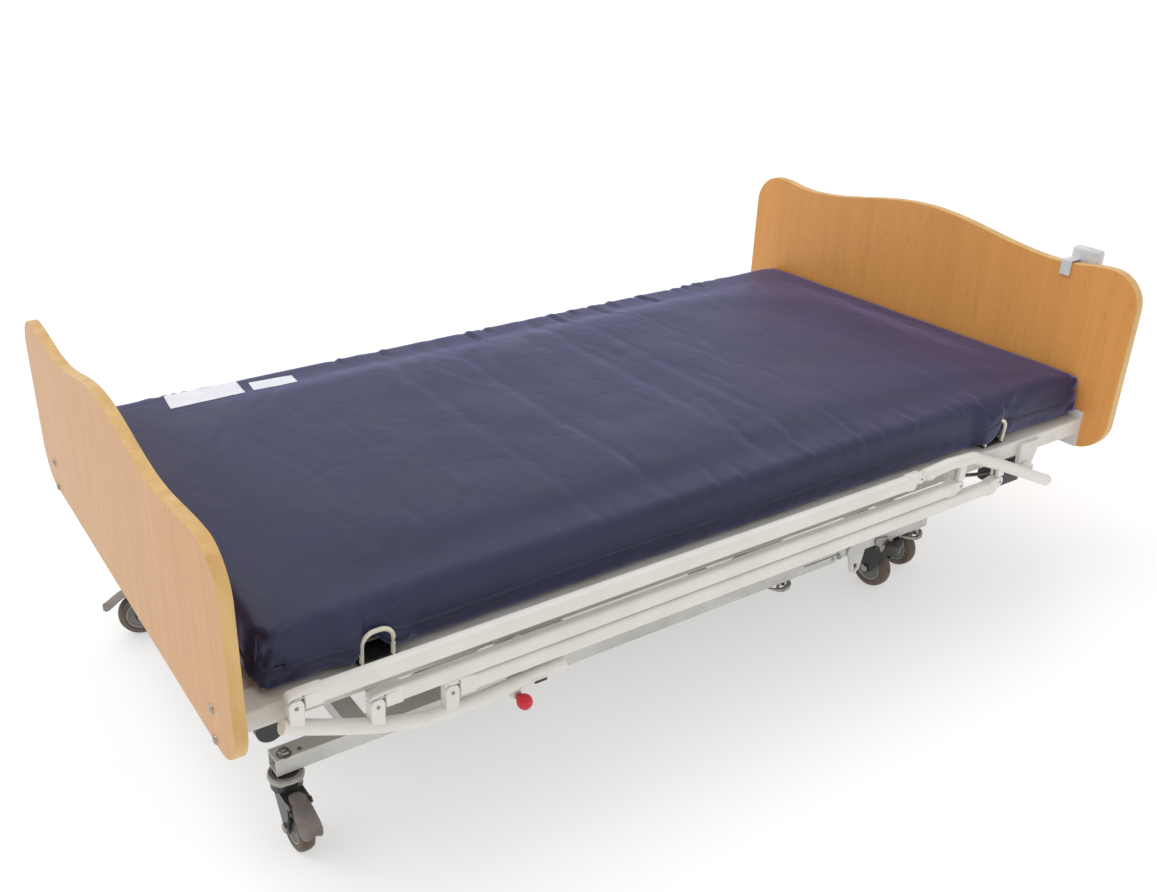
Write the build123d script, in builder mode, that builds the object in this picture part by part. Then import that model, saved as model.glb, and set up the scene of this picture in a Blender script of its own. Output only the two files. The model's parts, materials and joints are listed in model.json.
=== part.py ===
from build123d import *
import os
from math import asin, cos, degrees, radians, sin, tan

# Adjustable care bed, millimetres. +X runs from the foot end to the head end, +Z is up,
# the floor is Z = 0 and the origin is at floor level under the middle of the bed.
# "Near" pieces are on the -Y side and "far" pieces on the +Y side.
SIDES = {"near": -1, "far": 1}

# Boards
FOOT_OUTER_X = -1075.0
HEAD_INNER_X = 1024.0
BOARD_T = 22.0
FOOT_BOARD = dict(half=587.0, low=343.0, crest=751.0, trough=710.0, trough_y=305.0, peak=725.0, corner=80.0)
HEAD_BOARD = dict(half=590.0, low=338.0, crest=801.0, trough=756.0, trough_y=390.0, peak=768.0, corner=78.0)
BOLT_Y = 490.0
BOLT_LEVELS = (353.0, 412.0)
BOLT_R = 4.0
BOLT_HEAD_R = 8.5
BOLT_HEAD_T = 4.5

# Upper frame
BEAM_IN = 466.0
BEAM_OUT = 526.0
BEAM_LOW = 372.0
BEAM_TOP = 410.0
PLATE_T = 6.0
TUBE_WALL = 3.0
CROSS_LOW = 368.0
CROSS_TOP = 392.0
CROSS_W = 40.0

# Lying surface, in four sections
DECK_TOP = 415.0
DECK_SHEET = 4.0
DECK_RIB = 14.0
DECK_HALF = 455.0
HINGE_Z = 404.0
BACK_HINGE_X = 220.0
THIGH_HINGE_X = 0.0
KNEE_X = -330.0
BACK_END_X = 1000.0
CALF_END_X = -960.0
EDGE_GAP = 8.0
HINGE_R = 6.0
KNUCKLE_R = 10.0
RUN_FIT = 0.05
BACK_RANGE = 65.0
THIGH_RANGE = 30.0

# Mattress sections
PAD_HALF = 500.0
PAD_LOW = 415.5
PAD_TOP = 531.0
PAD_HEAD_X = 1016.0
PAD_FOOT_X = -978.0
BACK_GAP_DEG = 36.0
THIGH_GAP_DEG = 17.5

# Mattress retainers
HOOP_Y = 508.0
HOOP_R = 4.0
HOOP_TOP = 474.0
HOOP_W = 57.0
CALF_HOOP_X = -803.0
BACK_HOOP_X = 727.0

# Side rails: three bars between two cranks, in the plane |Y| = RAIL_Y
RAIL_Y = 560.0
RAIL_T = 22.0
RAIL_H = 31.0
RAIL_REACH = 1384.0
RAIL_STEP = 14.0
FOOT_PIVOTS = ((-970.0, 422.0), (-835.0, 369.0), (-699.0, 343.0))
RAIL_LEVELS = (431.0, 379.0, 346.0)
CRANK_PIVOT = (-565.0, 320.0)
CRANK_TUBE_R = 13.0
FOOT_CRANK_PATH = ((-991, 390), (-896, 350), (-831, 325), (-742, 302), (-640, 300), (-471, 311))
HEAD_CRANK_PATH = ((431, 435), (508, 441), (590, 436), (698, 389), (876, 305))
POST_T = 6.0
POST_HALF = 10.0
PIN_R = 4.0
SLOT_T = 7.0
FOOT_KNUCKLE_R = 16.0
HEAD_KNUCKLE_R = 11.0
LUG_IN = 537.0
LUG_OUT = 548.5
LUG_R = 16.0
CRANK_PIN_R = 6.0
BRACKET_OUT = 536.0
KNOB_X = -563.0
KNOB_Z = 275.0
KNOB_Y = 577.0
KNOB_R = 14.0
PLUNGER_R = 3.0

# Chassis
CHASSIS_IN = 350.0
CHASSIS_OUT = 387.0
CHASSIS_LOW = 142.0
CHASSIS_TOP = 176.0
CHASSIS_FOOT_X = -948.0
CHASSIS_STEP_X = 413.0
CHASSIS_HEAD_X = 721.0
EYE_X = 478.0
EYE_Z = 112.0
EYE_R = 9.0
RING_X = (245.0, 680.0)
RING_Z = 131.0

# Lift: two pairs of parallel arms
LIFT_LOW_Z = 159.0
LIFT_TOP_Z = 345.0
LIFT_LENGTH = 560.0
LIFT_LOW_X = (-700.0, 100.0)
LIFT_IN = 318.0
LIFT_OUT = 330.0
LIFT_EYE_R = 18.0
LIFT_PIN_R = 8.0
LIFT_RANGE = 49.0
LIFT_DX = LIFT_LENGTH * cos(asin((LIFT_TOP_Z - LIFT_LOW_Z) / LIFT_LENGTH))

# Actuators: a lever on the moving part carries a roller in an upright slot on the rod's end
LEVER = 100.0
ROLLER_R = 8.0
YOKE_SLACK = 1.9
ROD_R = 10.0

# Castors
WHEEL_R = 50.0
WHEEL_W = 30.0
TRAIL = 38.0
AXLE_R = 6.0
STEM_R = 8.0
FORK_IN = 18.0
FORK_OUT = 22.0
CROWN_Z = 104.0
HEAD_Z = 112.0
FORK_TOP = 139.5
PEDAL_PIN = (58.0, 110.0)
CASTORS = {
    "foot_near": (-928.0, -376.0, -90.0),
    "foot_far": (-928.0, 376.0, 168.0),
    "head_near": (602.0, -378.0, 90.0),
    "head_far": (602.0, 378.0, -90.0),
}
TRANSPORT_X = 729.0
TRANSPORT_Y = 309.0
TRANSPORT_R = 48.0

# Handset, hooked over the headboard
HANDSET_Y = -428.0
HANDSET_X0 = 1052.0
HANDSET_X1 = 1076.0
HANDSET_LOW = 640.0
HANDSET_TOP = 790.0
HANDSET_W = 70.0
HOOK_Y = -407.0
HOOK_W = 25.0
HOOK_TIP_Z = 729.0
HOOK_Z = 760.0
KEY_LEVELS = (675.0, 705.0, 735.0)
KEY_FACE_X = 1079.5


def save(piece, node):
    piece.part.label = node
    export_step(piece.part, f"parts/{node}.step")


def block(x, y, z, mode=Mode.ADD):
    # A box between two limits on each axis.
    mid = ((x[0] + x[1]) / 2, (y[0] + y[1]) / 2, (z[0] + z[1]) / 2)
    with Locations(mid):
        Box(abs(x[1] - x[0]), abs(y[1] - y[0]), abs(z[1] - z[0]), mode=mode)


def bore_through(x, y, z, along):
    # Hollows a member between these limits to a box section, open at both ends of one axis.
    limits = []
    for axis, ends in zip("xyz", (x, y, z)):
        low, high = sorted(ends)
        inset = -1.0 if axis == along else TUBE_WALL
        limits.append((low + inset, high - inset))
    block(*limits, mode=Mode.SUBTRACT)


def rod_x(x0, x1, y, z, radius, mode=Mode.ADD):
    with Locations(Location(((x0 + x1) / 2, y, z), (0, 90, 0))):
        Cylinder(radius, abs(x1 - x0), mode=mode)


def rod_y(x, z, y0, y1, radius, mode=Mode.ADD):
    with Locations(Location((x, (y0 + y1) / 2, z), (90, 0, 0))):
        Cylinder(radius, abs(y1 - y0), mode=mode)


def rod_z(x, y, z0, z1, radius, mode=Mode.ADD):
    with Locations((x, y, (z0 + z1) / 2)):
        Cylinder(radius, abs(z1 - z0), mode=mode)


def side_plane(y):
    # An upright plane seen from the near side: its x is +X, its y is +Z, it faces -Y.
    return Plane(origin=(0, y, 0), x_dir=(1, 0, 0), z_dir=(0, -1, 0))


def end_plane(x):
    # An upright plane across the bed: its x is +Y, its y is +Z, it faces +X.
    return Plane(origin=(x, 0, 0), x_dir=(0, 1, 0), z_dir=(1, 0, 0))


def link_plate(y0, y1, circles, mode=Mode.ADD):
    # A flat link: the hull of circles (x, z, radius), between two values of Y.
    with BuildSketch(side_plane(max(y0, y1))) as outline:
        for x, z, radius in circles:
            with Locations((x, z)):
                Circle(radius)
        make_hull()
    extrude(outline.sketch, amount=abs(y1 - y0), mode=mode)


def turned_lever(pivot, angle, reach):
    # The point at a reach from a pivot, at an angle from straight down towards +X.
    return (pivot[0] + reach * sin(radians(angle)), pivot[1] - reach * cos(radians(angle)))


os.makedirs("parts", exist_ok=True)


# Boards: a laminated panel with a wave along its top edge
def make_board(node, x0, shape):
    half = shape["half"]
    flat = half - shape["corner"]
    shoulder = shape["peak"] - shape["corner"]
    with BuildPart() as board:
        with BuildSketch(end_plane(x0)):
            with BuildLine():
                wave = Spline(
                    (-flat, shape["peak"]),
                    (-shape["trough_y"], shape["trough"]),
                    (0, shape["crest"]),
                    (shape["trough_y"], shape["trough"]),
                    (flat, shape["peak"]),
                    tangents=((1, 0), (1, 0)),
                )
                RadiusArc(wave @ 1, (half, shoulder), shape["corner"])
                Line((half, shoulder), (half, shape["low"] + shape["corner"]))
                RadiusArc((half, shape["low"] + shape["corner"]), (flat, shape["low"]), shape["corner"])
                Line((flat, shape["low"]), (-flat, shape["low"]))
                RadiusArc((-flat, shape["low"]), (-half, shape["low"] + shape["corner"]), shape["corner"])
                Line((-half, shape["low"] + shape["corner"]), (-half, shoulder))
                RadiusArc((-half, shoulder), wave @ 0, shape["corner"])
            make_face()
        extrude(amount=BOARD_T)
        for side in SIDES.values():
            for level in BOLT_LEVELS:
                rod_x(x0 - 1, x0 + BOARD_T + 1, side * BOLT_Y, level, BOLT_R + 0.3, Mode.SUBTRACT)
    save(board, node)


make_board("footboard", FOOT_OUTER_X, FOOT_BOARD)
make_board("headboard", HEAD_INNER_X, HEAD_BOARD)
FOOT_INNER_X = FOOT_OUTER_X + BOARD_T
HEAD_OUTER_X = HEAD_INNER_X + BOARD_T

with BuildPart() as board_bolts:
    for side in SIDES.values():
        for level in BOLT_LEVELS:
            rod_x(FOOT_OUTER_X, FOOT_INNER_X + PLATE_T, side * BOLT_Y, level, BOLT_R)
            rod_x(FOOT_OUTER_X - BOLT_HEAD_T, FOOT_OUTER_X, side * BOLT_Y, level, BOLT_HEAD_R)
            rod_x(HEAD_INNER_X - PLATE_T, HEAD_OUTER_X, side * BOLT_Y, level, BOLT_R)
            rod_x(HEAD_OUTER_X, HEAD_OUTER_X + BOLT_HEAD_T, side * BOLT_Y, level, BOLT_HEAD_R)
save(board_bolts, "board_bolts")

# Upper frame
BEAM_X = (FOOT_INNER_X + PLATE_T, HEAD_INNER_X - PLATE_T)
for name, side in SIDES.items():
    with BuildPart() as side_beam:
        block(BEAM_X, (side * BEAM_IN, side * BEAM_OUT), (BEAM_LOW, BEAM_TOP))
        fillet(side_beam.edges().filter_by(Axis.X), 4)
        bore_through(BEAM_X, (side * BEAM_IN, side * BEAM_OUT), (BEAM_LOW, BEAM_TOP), "x")
    save(side_beam, f"side_beam_{name}")

with BuildPart() as board_brackets:
    for x in ((FOOT_INNER_X, BEAM_X[0]), (BEAM_X[1], HEAD_INNER_X)):
        for side in SIDES.values():
            block(x, (side * (BEAM_IN - 4), side * (BEAM_OUT + 2)), (BOLT_LEVELS[0] - 12, BOLT_LEVELS[1] + 16))
            for level in BOLT_LEVELS:
                rod_x(x[0] - 1, x[1] + 1, side * BOLT_Y, level, BOLT_R + 0.3, Mode.SUBTRACT)
save(board_brackets, "board_brackets")

LIFT_TOP_X = tuple(x + LIFT_DX for x in LIFT_LOW_X)
CROSS_X = (-1000.0, -600.0, LIFT_TOP_X[0], 110.0, LIFT_TOP_X[1], 800.0, 985.0)
LUG_Y = (333.0, 341.0)
with BuildPart() as frame_cross_members:
    for x in CROSS_X:
        member = ((x - CROSS_W / 2, x + CROSS_W / 2), (-BEAM_IN, BEAM_IN), (CROSS_LOW, CROSS_TOP))
        block(*member)
        bore_through(*member, "y")
    for x in LIFT_TOP_X:
        for side in SIDES.values():
            block((x - 16, x + 16), (side * LUG_Y[0], side * LUG_Y[1]), (LIFT_TOP_Z, CROSS_LOW + 2))
            rod_y(x, LIFT_TOP_Z, side * LUG_Y[0], side * LUG_Y[1], 16)
            rod_y(x, LIFT_TOP_Z, side * (LIFT_IN + 0.2), side * LUG_Y[0], LIFT_PIN_R)
    block((-192, -152), (50, 90), (340.5, CROSS_LOW))
    block((90, 130), (-90, -50), (340.5, CROSS_LOW))
    for x in (40.0, 180.0):
        for side in SIDES.values():
            block((x - 12, x + 12), (side * 430, side * BEAM_IN), (384, DECK_TOP - DECK_SHEET - DECK_RIB))
save(frame_cross_members, "frame_cross_members")


# Lying surface: ribbed, slotted panels on pin hinges
def deck_panel(x0, x1, slots):
    sheet = (DECK_TOP - DECK_SHEET, DECK_TOP)
    rib = (DECK_TOP - DECK_SHEET - DECK_RIB, DECK_TOP - DECK_SHEET)
    block((x0, x1), (-DECK_HALF, DECK_HALF), sheet)
    for y in (-440, -225, 0, 225, 440):
        block((x0, x1), (y - 12, y + 12), rib)
    pitch = (x1 - x0) / slots
    for column in range(slots):
        middle = x0 + pitch * (column + 0.5)
        for y in (-332, -112, 112, 332):
            for shift in (-60, -20, 20, 60):
                slot = (middle - pitch * 0.36, middle + pitch * 0.36)
                block(slot, (y + shift - 8, y + shift + 8), (sheet[0] - 1, sheet[1] + 1), Mode.SUBTRACT)


KNUCKLES = (-300.0, 300.0)
KNUCKLE_HALF = 25.0
EAR_T = 8.0


def hinge_pins(x, panel_side):
    # The fixed half of a hinge: two ears and the pin between them, at each knuckle.
    for y in KNUCKLES:
        for side in SIDES.values():
            ear = (y + side * (KNUCKLE_HALF + 1), y + side * (KNUCKLE_HALF + 1 + EAR_T))
            rod_y(x, HINGE_Z, ear[0], ear[1], KNUCKLE_R)
            block((x, x + panel_side * 22), ear, (HINGE_Z - 7, DECK_TOP - DECK_SHEET))
        rod_y(x, HINGE_Z, y - KNUCKLE_HALF - 2, y + KNUCKLE_HALF + 2, HINGE_R)


def hinge_sleeves(x, panel_side):
    # The moving half: a sleeve round each pin, joined to its panel.
    for y in KNUCKLES:
        reach = (y - KNUCKLE_HALF, y + KNUCKLE_HALF)
        rod_y(x, HINGE_Z, reach[0], reach[1], KNUCKLE_R)
        block((x, x + panel_side * 22), reach, (HINGE_Z - 7, DECK_TOP - DECK_SHEET))
        rod_y(x, HINGE_Z, reach[0] - 1, reach[1] + 1, HINGE_R + RUN_FIT, Mode.SUBTRACT)


def hinge_relief(x):
    # Room for the other half's ears and sleeves in a panel's edge.
    for y in KNUCKLES:
        span = (y - KNUCKLE_HALF - EAR_T - 3, y + KNUCKLE_HALF + EAR_T + 3)
        rod_y(x, HINGE_Z, span[0], span[1], KNUCKLE_R + 3, Mode.SUBTRACT)


with BuildPart() as seat_panel:
    deck_panel(THIGH_HINGE_X + EDGE_GAP, BACK_HINGE_X - EDGE_GAP, 1)
    hinge_relief(BACK_HINGE_X)
    hinge_relief(THIGH_HINGE_X)
    hinge_pins(BACK_HINGE_X, -1)
    hinge_pins(THIGH_HINGE_X, 1)
save(seat_panel, "seat_panel")

BACK_LEVER = turned_lever((BACK_HINGE_X, HINGE_Z), -BACK_RANGE / 2, LEVER)
THIGH_LEVER = turned_lever((THIGH_HINGE_X, HINGE_Z), THIGH_RANGE / 2, LEVER)
BACK_LEVER_Y = 60.0
THIGH_LEVER_Y = -60.0
LEVER_HALF = 4.0


def lever_plate(pivot_x, panel_side, tip, y):
    # The plate that the actuator pushes, and its roller pin on the side away from the middle.
    side = 1 if y > 0 else -1
    root = pivot_x + panel_side * 28
    link_plate(y - LEVER_HALF, y + LEVER_HALF, ((root, HINGE_Z - 4, 12), (tip[0], tip[1], 12)))
    rod_y(tip[0], tip[1], y, y + side * 16, ROLLER_R)


with BuildPart() as back_panel:
    deck_panel(BACK_HINGE_X + EDGE_GAP, BACK_END_X, 5)
    hinge_relief(BACK_HINGE_X)
    hinge_sleeves(BACK_HINGE_X, 1)
    lever_plate(BACK_HINGE_X, 1, BACK_LEVER, BACK_LEVER_Y)
save(back_panel, "back_panel")

with BuildPart() as thigh_panel:
    deck_panel(KNEE_X + EDGE_GAP, THIGH_HINGE_X - EDGE_GAP, 2)
    hinge_relief(THIGH_HINGE_X)
    hinge_relief(KNEE_X)
    hinge_sleeves(THIGH_HINGE_X, -1)
    hinge_pins(KNEE_X, 1)
    lever_plate(THIGH_HINGE_X, -1, THIGH_LEVER, THIGH_LEVER_Y)
save(thigh_panel, "thigh_panel")

with BuildPart() as calf_panel:
    deck_panel(CALF_END_X, KNEE_X - EDGE_GAP, 4)
    hinge_relief(KNEE_X)
    hinge_sleeves(KNEE_X, -1)
save(calf_panel, "calf_panel")


# Mattress: one foam section on each panel, cut back at an angle where the bed bends
def make_pad(node, foot_x, foot_deg, head_x, head_deg):
    def edge(x, angle, way, level):
        return x + way * (level - HINGE_Z) * tan(radians(angle))

    with BuildPart() as pad:
        with BuildSketch(side_plane(PAD_HALF)):
            with BuildLine():
                Polyline(
                    (edge(foot_x, foot_deg, 1, PAD_LOW), PAD_LOW),
                    (edge(head_x, head_deg, -1, PAD_LOW), PAD_LOW),
                    (edge(head_x, head_deg, -1, PAD_TOP), PAD_TOP),
                    (edge(foot_x, foot_deg, 1, PAD_TOP), PAD_TOP),
                    close=True,
                )
            make_face()
        extrude(amount=2 * PAD_HALF)
    save(pad, node)


make_pad("seat_pad", THIGH_HINGE_X, THIGH_GAP_DEG, BACK_HINGE_X, BACK_GAP_DEG)
make_pad("back_pad", BACK_HINGE_X, BACK_GAP_DEG, PAD_HEAD_X, 0)
make_pad("thigh_pad", KNEE_X + 2, 0, THIGH_HINGE_X, THIGH_GAP_DEG)
make_pad("calf_pad", PAD_FOOT_X, 0, KNEE_X - 2, 0)


# Mattress retainers: a bent rod hoop on a flat foot, at each side of a panel
def make_retainers(node, x):
    half = HOOP_W / 2
    bend = 23.0
    with BuildPart() as retainers:
        for side in SIDES.values():
            block((x - half - 6, x + half + 6), (side * DECK_HALF, side * (HOOP_Y + 5)), (411, DECK_TOP))
            with BuildLine():
                route = FilletPolyline(
                    (x - half, side * HOOP_Y, 413),
                    (x - half, side * HOOP_Y, HOOP_TOP - HOOP_R),
                    (x + half, side * HOOP_Y, HOOP_TOP - HOOP_R),
                    (x + half, side * HOOP_Y, 413),
                    radius=bend,
                )
            with BuildSketch(Plane.XY.offset(413)):
                with Locations((x - half, side * HOOP_Y)):
                    Circle(HOOP_R)
            sweep(path=route)
    save(retainers, node)


make_retainers("calf_retainers", CALF_HOOP_X)
make_retainers("back_retainers", BACK_HOOP_X)


# Side rails
def bent_tube(path, y, bend):
    points = [(x, y, z) for x, z in path]
    with BuildLine():
        route = FilletPolyline(*points, radius=bend)
    with BuildSketch(Plane(origin=route @ 0, z_dir=route % 0)) as section:
        Circle(CRANK_TUBE_R)
    sweep(section.sketch, path=route)


def tube_height(path, x):
    # The height of a crank tube's centre line at x.
    for (x0, z0), (x1, z1) in zip(path, path[1:]):
        if x0 <= x <= x1:
            return z0 + (z1 - z0) * (x - x0) / (x1 - x0)
    return path[0][1]


def post(y, pivot, foot):
    # A flat post from the tube to a rail's pivot, and the pin that the rail turns on.
    half = POST_T / 2
    link_plate(y - half, y + half, ((pivot[0], pivot[1], POST_HALF), (foot[0], foot[1], POST_HALF)))
    rod_y(pivot[0], pivot[1], y - RAIL_T / 2 + 0.5, y + RAIL_T / 2 - 0.5, PIN_R)


def crank_lug(side, pivot, low):
    # The plate on the tube's inner side, bored for the frame's pin.
    circles = [(pivot[0], pivot[1], LUG_R), (pivot[0], pivot[1] + 8, LUG_R)]
    if low:
        circles.append((KNOB_X, KNOB_Z, 12))
    link_plate(side * LUG_IN, side * LUG_OUT, circles)


HEAD_PIVOTS = tuple((x + RAIL_REACH, z + RAIL_STEP) for x, z in FOOT_PIVOTS)
HEAD_CRANK_PIVOT = (CRANK_PIVOT[0] + RAIL_REACH, CRANK_PIVOT[1] + RAIL_STEP)

for name, side in SIDES.items():
    y = side * RAIL_Y
    with BuildPart() as crank_foot:
        bent_tube(FOOT_CRANK_PATH, y, 60)
        for x, z in FOOT_PIVOTS:
            post(y, (x, z), (x, tube_height(FOOT_CRANK_PATH, x)))
        crank_lug(side, CRANK_PIVOT, True)
        rod_y(KNOB_X, KNOB_Z, side * LUG_OUT, side * 557, 9)
        rod_y(*CRANK_PIVOT, side * (LUG_IN - 1), side * (LUG_OUT + 0.3), CRANK_PIN_R + RUN_FIT, Mode.SUBTRACT)
        rod_y(KNOB_X, KNOB_Z, side * (LUG_IN - 1), side * 558, PLUNGER_R + RUN_FIT, Mode.SUBTRACT)
    save(crank_foot, f"crank_foot_{name}")

    with BuildPart() as crank_head:
        bent_tube(HEAD_CRANK_PATH, y, 60)
        x, z = HEAD_PIVOTS[0]
        post(y, (x, z), (HEAD_CRANK_PATH[0][0] + 12, HEAD_CRANK_PATH[0][1] + 1))
        for x, z in HEAD_PIVOTS[1:]:
            post(y, (x, z), (x, tube_height(HEAD_CRANK_PATH, x)))
        crank_lug(side, HEAD_CRANK_PIVOT, False)
        pin_span = (side * (LUG_IN - 1), side * (LUG_OUT + 0.3))
        rod_y(*HEAD_CRANK_PIVOT, *pin_span, CRANK_PIN_R + RUN_FIT, Mode.SUBTRACT)
    save(crank_head, f"crank_head_{name}")

    for number, ((x, z), level) in enumerate(zip(FOOT_PIVOTS, RAIL_LEVELS), 1):
        head_x = x + RAIL_REACH
        head_z = z + RAIL_STEP
        low = level - RAIL_H / 2
        top = level + RAIL_H / 2
        thick = (y - RAIL_T / 2, y + RAIL_T / 2)
        with BuildPart() as rail:
            # The top rail's end stops short, clear of the crank's tube when the rails are up.
            block((x - 5, head_x - (14 if number == 1 else 4)), thick, (low, top))
            fillet(rail.edges().filter_by(Axis.X), 7)
            link_plate(*thick, ((x, z, FOOT_KNUCKLE_R), (x + 22, level - 2, 12)))
            link_plate(*thick, ((head_x, head_z, HEAD_KNUCKLE_R), (head_x - 22, level, 11)))
            slot = (y - SLOT_T / 2, y + SLOT_T / 2)
            block((x - 30, x + 13), slot, (z - 30, z + 14), Mode.SUBTRACT)
            block((head_x - 13, head_x + 30), slot, (low - 5, head_z + 14), Mode.SUBTRACT)
            bore_through((x + 13, head_x - 13), thick, (low, top), "x")
            rod_y(x, z, *thick, PIN_R + RUN_FIT, Mode.SUBTRACT)
            rod_y(head_x, head_z, *thick, PIN_R + 0.3, Mode.SUBTRACT)
        save(rail, f"rail_{name}_{number}")

    with BuildPart() as knob:
        rod_y(KNOB_X, KNOB_Z, side * (LUG_IN + 0.4), side * KNOB_Y, PLUNGER_R)
        with Locations((KNOB_X, side * KNOB_Y, KNOB_Z)):
            Sphere(KNOB_R)
        rod_y(KNOB_X, KNOB_Z, side * 559.5, side * KNOB_Y, 9)
    save(knob, f"knob_{name}")

with BuildPart() as rail_brackets:
    for side in SIDES.values():
        # Each bracket is the hull of four rounded corners, and its pin stands out from it.
        for pivot, top_x, half_turn in ((CRANK_PIVOT, (-592.0, -494.0), 16), (HEAD_CRANK_PIVOT, (801.0, 853.0), 18)):
            x, z = pivot
            corners = ((top_x[0], 397, 8), (top_x[1], 397, 8), (top_x[1] - 6, 376, 8), (x, z, half_turn))
            link_plate(side * BEAM_OUT, side * BRACKET_OUT, corners)
            rod_y(x, z, side * BRACKET_OUT, side * (LUG_OUT - 0.2), CRANK_PIN_R)
        rod_y(-553, 374, side * BRACKET_OUT, side * (BRACKET_OUT + 6), 11)
save(rail_brackets, "rail_brackets")

# Chassis
for name, side in SIDES.items():
    with BuildPart() as chassis_beam:
        beam_y = (side * CHASSIS_IN, side * CHASSIS_OUT)
        block((CHASSIS_FOOT_X, CHASSIS_STEP_X), beam_y, (CHASSIS_LOW, CHASSIS_TOP))
        inner_y = (side * (CHASSIS_IN + 2), side * (CHASSIS_OUT - 2))
        block((CHASSIS_STEP_X, CHASSIS_HEAD_X), inner_y, (CHASSIS_LOW + 4, CHASSIS_TOP))
        bore_through((CHASSIS_FOOT_X, CHASSIS_STEP_X), beam_y, (CHASSIS_LOW, CHASSIS_TOP), "x")
        bore_through((CHASSIS_STEP_X, CHASSIS_HEAD_X), inner_y, (CHASSIS_LOW + 4, CHASSIS_TOP), "x")
        for x in LIFT_LOW_X:
            rod_y(x, LIFT_LOW_Z, side * (LIFT_OUT + 1), side * CHASSIS_IN, 14)
            rod_y(x, LIFT_LOW_Z, side * (LIFT_IN + 0.2), side * CHASSIS_IN, LIFT_PIN_R)
        castor_x, castor_y, _ = CASTORS[f"foot_{name}"]
        rod_z(castor_x, castor_y, HEAD_Z + 3, CHASSIS_LOW, STEM_R)
        rod_z(castor_x, castor_y, CHASSIS_TOP, CHASSIS_TOP + 9, 9)
        castor_x, castor_y, _ = CASTORS[f"head_{name}"]
        rod_z(castor_x, castor_y, HEAD_Z + 3, CHASSIS_LOW + 4, STEM_R)
    save(chassis_beam, f"chassis_beam_{name}")

LIFT_MOUNT_X = -300.0
with BuildPart() as chassis_cross_members:
    for x0, x1 in ((-800.0, -760.0), (LIFT_MOUNT_X - 20, LIFT_MOUNT_X + 20), (580.0, 620.0), (690.0, 712.0)):
        member = ((x0, x1), (-CHASSIS_IN, CHASSIS_IN), (CHASSIS_LOW + 4, CHASSIS_TOP))
        block(*member)
        bore_through(*member, "y")
    block((LIFT_MOUNT_X - 16, LIFT_MOUNT_X + 16), (-6, 26), (CHASSIS_TOP, 225.5))
save(chassis_cross_members, "chassis_cross_members")

with BuildPart() as chassis_fittings:
    for side in SIDES.values():
        y_in = side * CHASSIS_OUT
        y_out = side * (CHASSIS_OUT + 4)
        link_plate(y_in, y_out, ((EYE_X, EYE_Z, 17), (EYE_X - 14, 160, 16), (EYE_X + 10, 160, 16)))
        rod_y(EYE_X, EYE_Z, side * (CHASSIS_OUT - 1), side * (CHASSIS_OUT + 5), EYE_R, Mode.SUBTRACT)
        for z in (150.0, 168.0):
            rod_y(EYE_X - 4, z, side * (CHASSIS_OUT - 2), y_in, 4)
        wheel_y = side * TRANSPORT_Y
        outer = WHEEL_W / 2 + 8
        for way in (-1, 1):
            leg_x = TRANSPORT_X + way * (WHEEL_W / 2 + 6)
            with BuildSketch(end_plane(leg_x - 2)):
                with Locations((wheel_y, WHEEL_R)):
                    Circle(12)
                with Locations((wheel_y, 109)):
                    Rectangle(50, 6)
                make_hull()
            extrude(amount=4)
        block((TRANSPORT_X - outer, TRANSPORT_X + outer), (wheel_y - 25, wheel_y + 25), (106, 112))
        block((TRANSPORT_X - outer, 712), (wheel_y - 20, wheel_y + 20), (110, CHASSIS_LOW + 4))
        rod_x(TRANSPORT_X - outer, TRANSPORT_X + outer, wheel_y, WHEEL_R, AXLE_R)
save(chassis_fittings, "chassis_fittings")

with BuildPart() as chrome_rings:
    for side in SIDES.values():
        for x in RING_X:
            with Locations((x, side * 376, RING_Z)):
                Torus(24, 5)
            rod_z(x, side * 376, RING_Z, CHASSIS_LOW if x < CHASSIS_STEP_X else CHASSIS_LOW + 4, 9)
            block((x - 22, x + 22), (side * 371, side * 381), (RING_Z - 2, RING_Z + 2))
save(chrome_rings, "chrome_rings")


# Lift arms
def make_lift_arm(node, low_x, with_lever):
    pivot = (low_x, LIFT_LOW_Z)
    top = (low_x + LIFT_DX, LIFT_TOP_Z)
    bore = LIFT_PIN_R + (RUN_FIT if with_lever else 0.6)
    with BuildPart() as arm:
        rod_y(*pivot, -LIFT_IN - 0.5, LIFT_IN + 0.5, LIFT_EYE_R)
        rod_y(*pivot, -LIFT_IN - 1, LIFT_IN + 1, LIFT_EYE_R - TUBE_WALL, Mode.SUBTRACT)
        for side in SIDES.values():
            plate = (side * LIFT_IN, side * LIFT_OUT)
            link_plate(*plate, ((*pivot, LIFT_EYE_R), (*top, LIFT_EYE_R)))
            rod_y(*pivot, side * (LIFT_IN - 1), side * (LIFT_OUT + 1), LIFT_PIN_R + RUN_FIT, Mode.SUBTRACT)
            rod_y(*top, side * (LIFT_IN - 1), side * (LIFT_OUT + 1), bore, Mode.SUBTRACT)
        if with_lever:
            tip = turned_lever(pivot, 180 - LIFT_RANGE / 2, LEVER)
            link_plate(-LEVER_HALF, LEVER_HALF, ((*pivot, LIFT_EYE_R), (*tip, 12)))
            rod_y(*tip, 0, 16, ROLLER_R)
    save(arm, node)


make_lift_arm("lift_arm_foot", LIFT_LOW_X[0], True)
make_lift_arm("lift_arm_head", LIFT_LOW_X[1], False)
LIFT_LEVER = turned_lever((LIFT_LOW_X[0], LIFT_LOW_Z), 180 - LIFT_RANGE / 2, LEVER)


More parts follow.
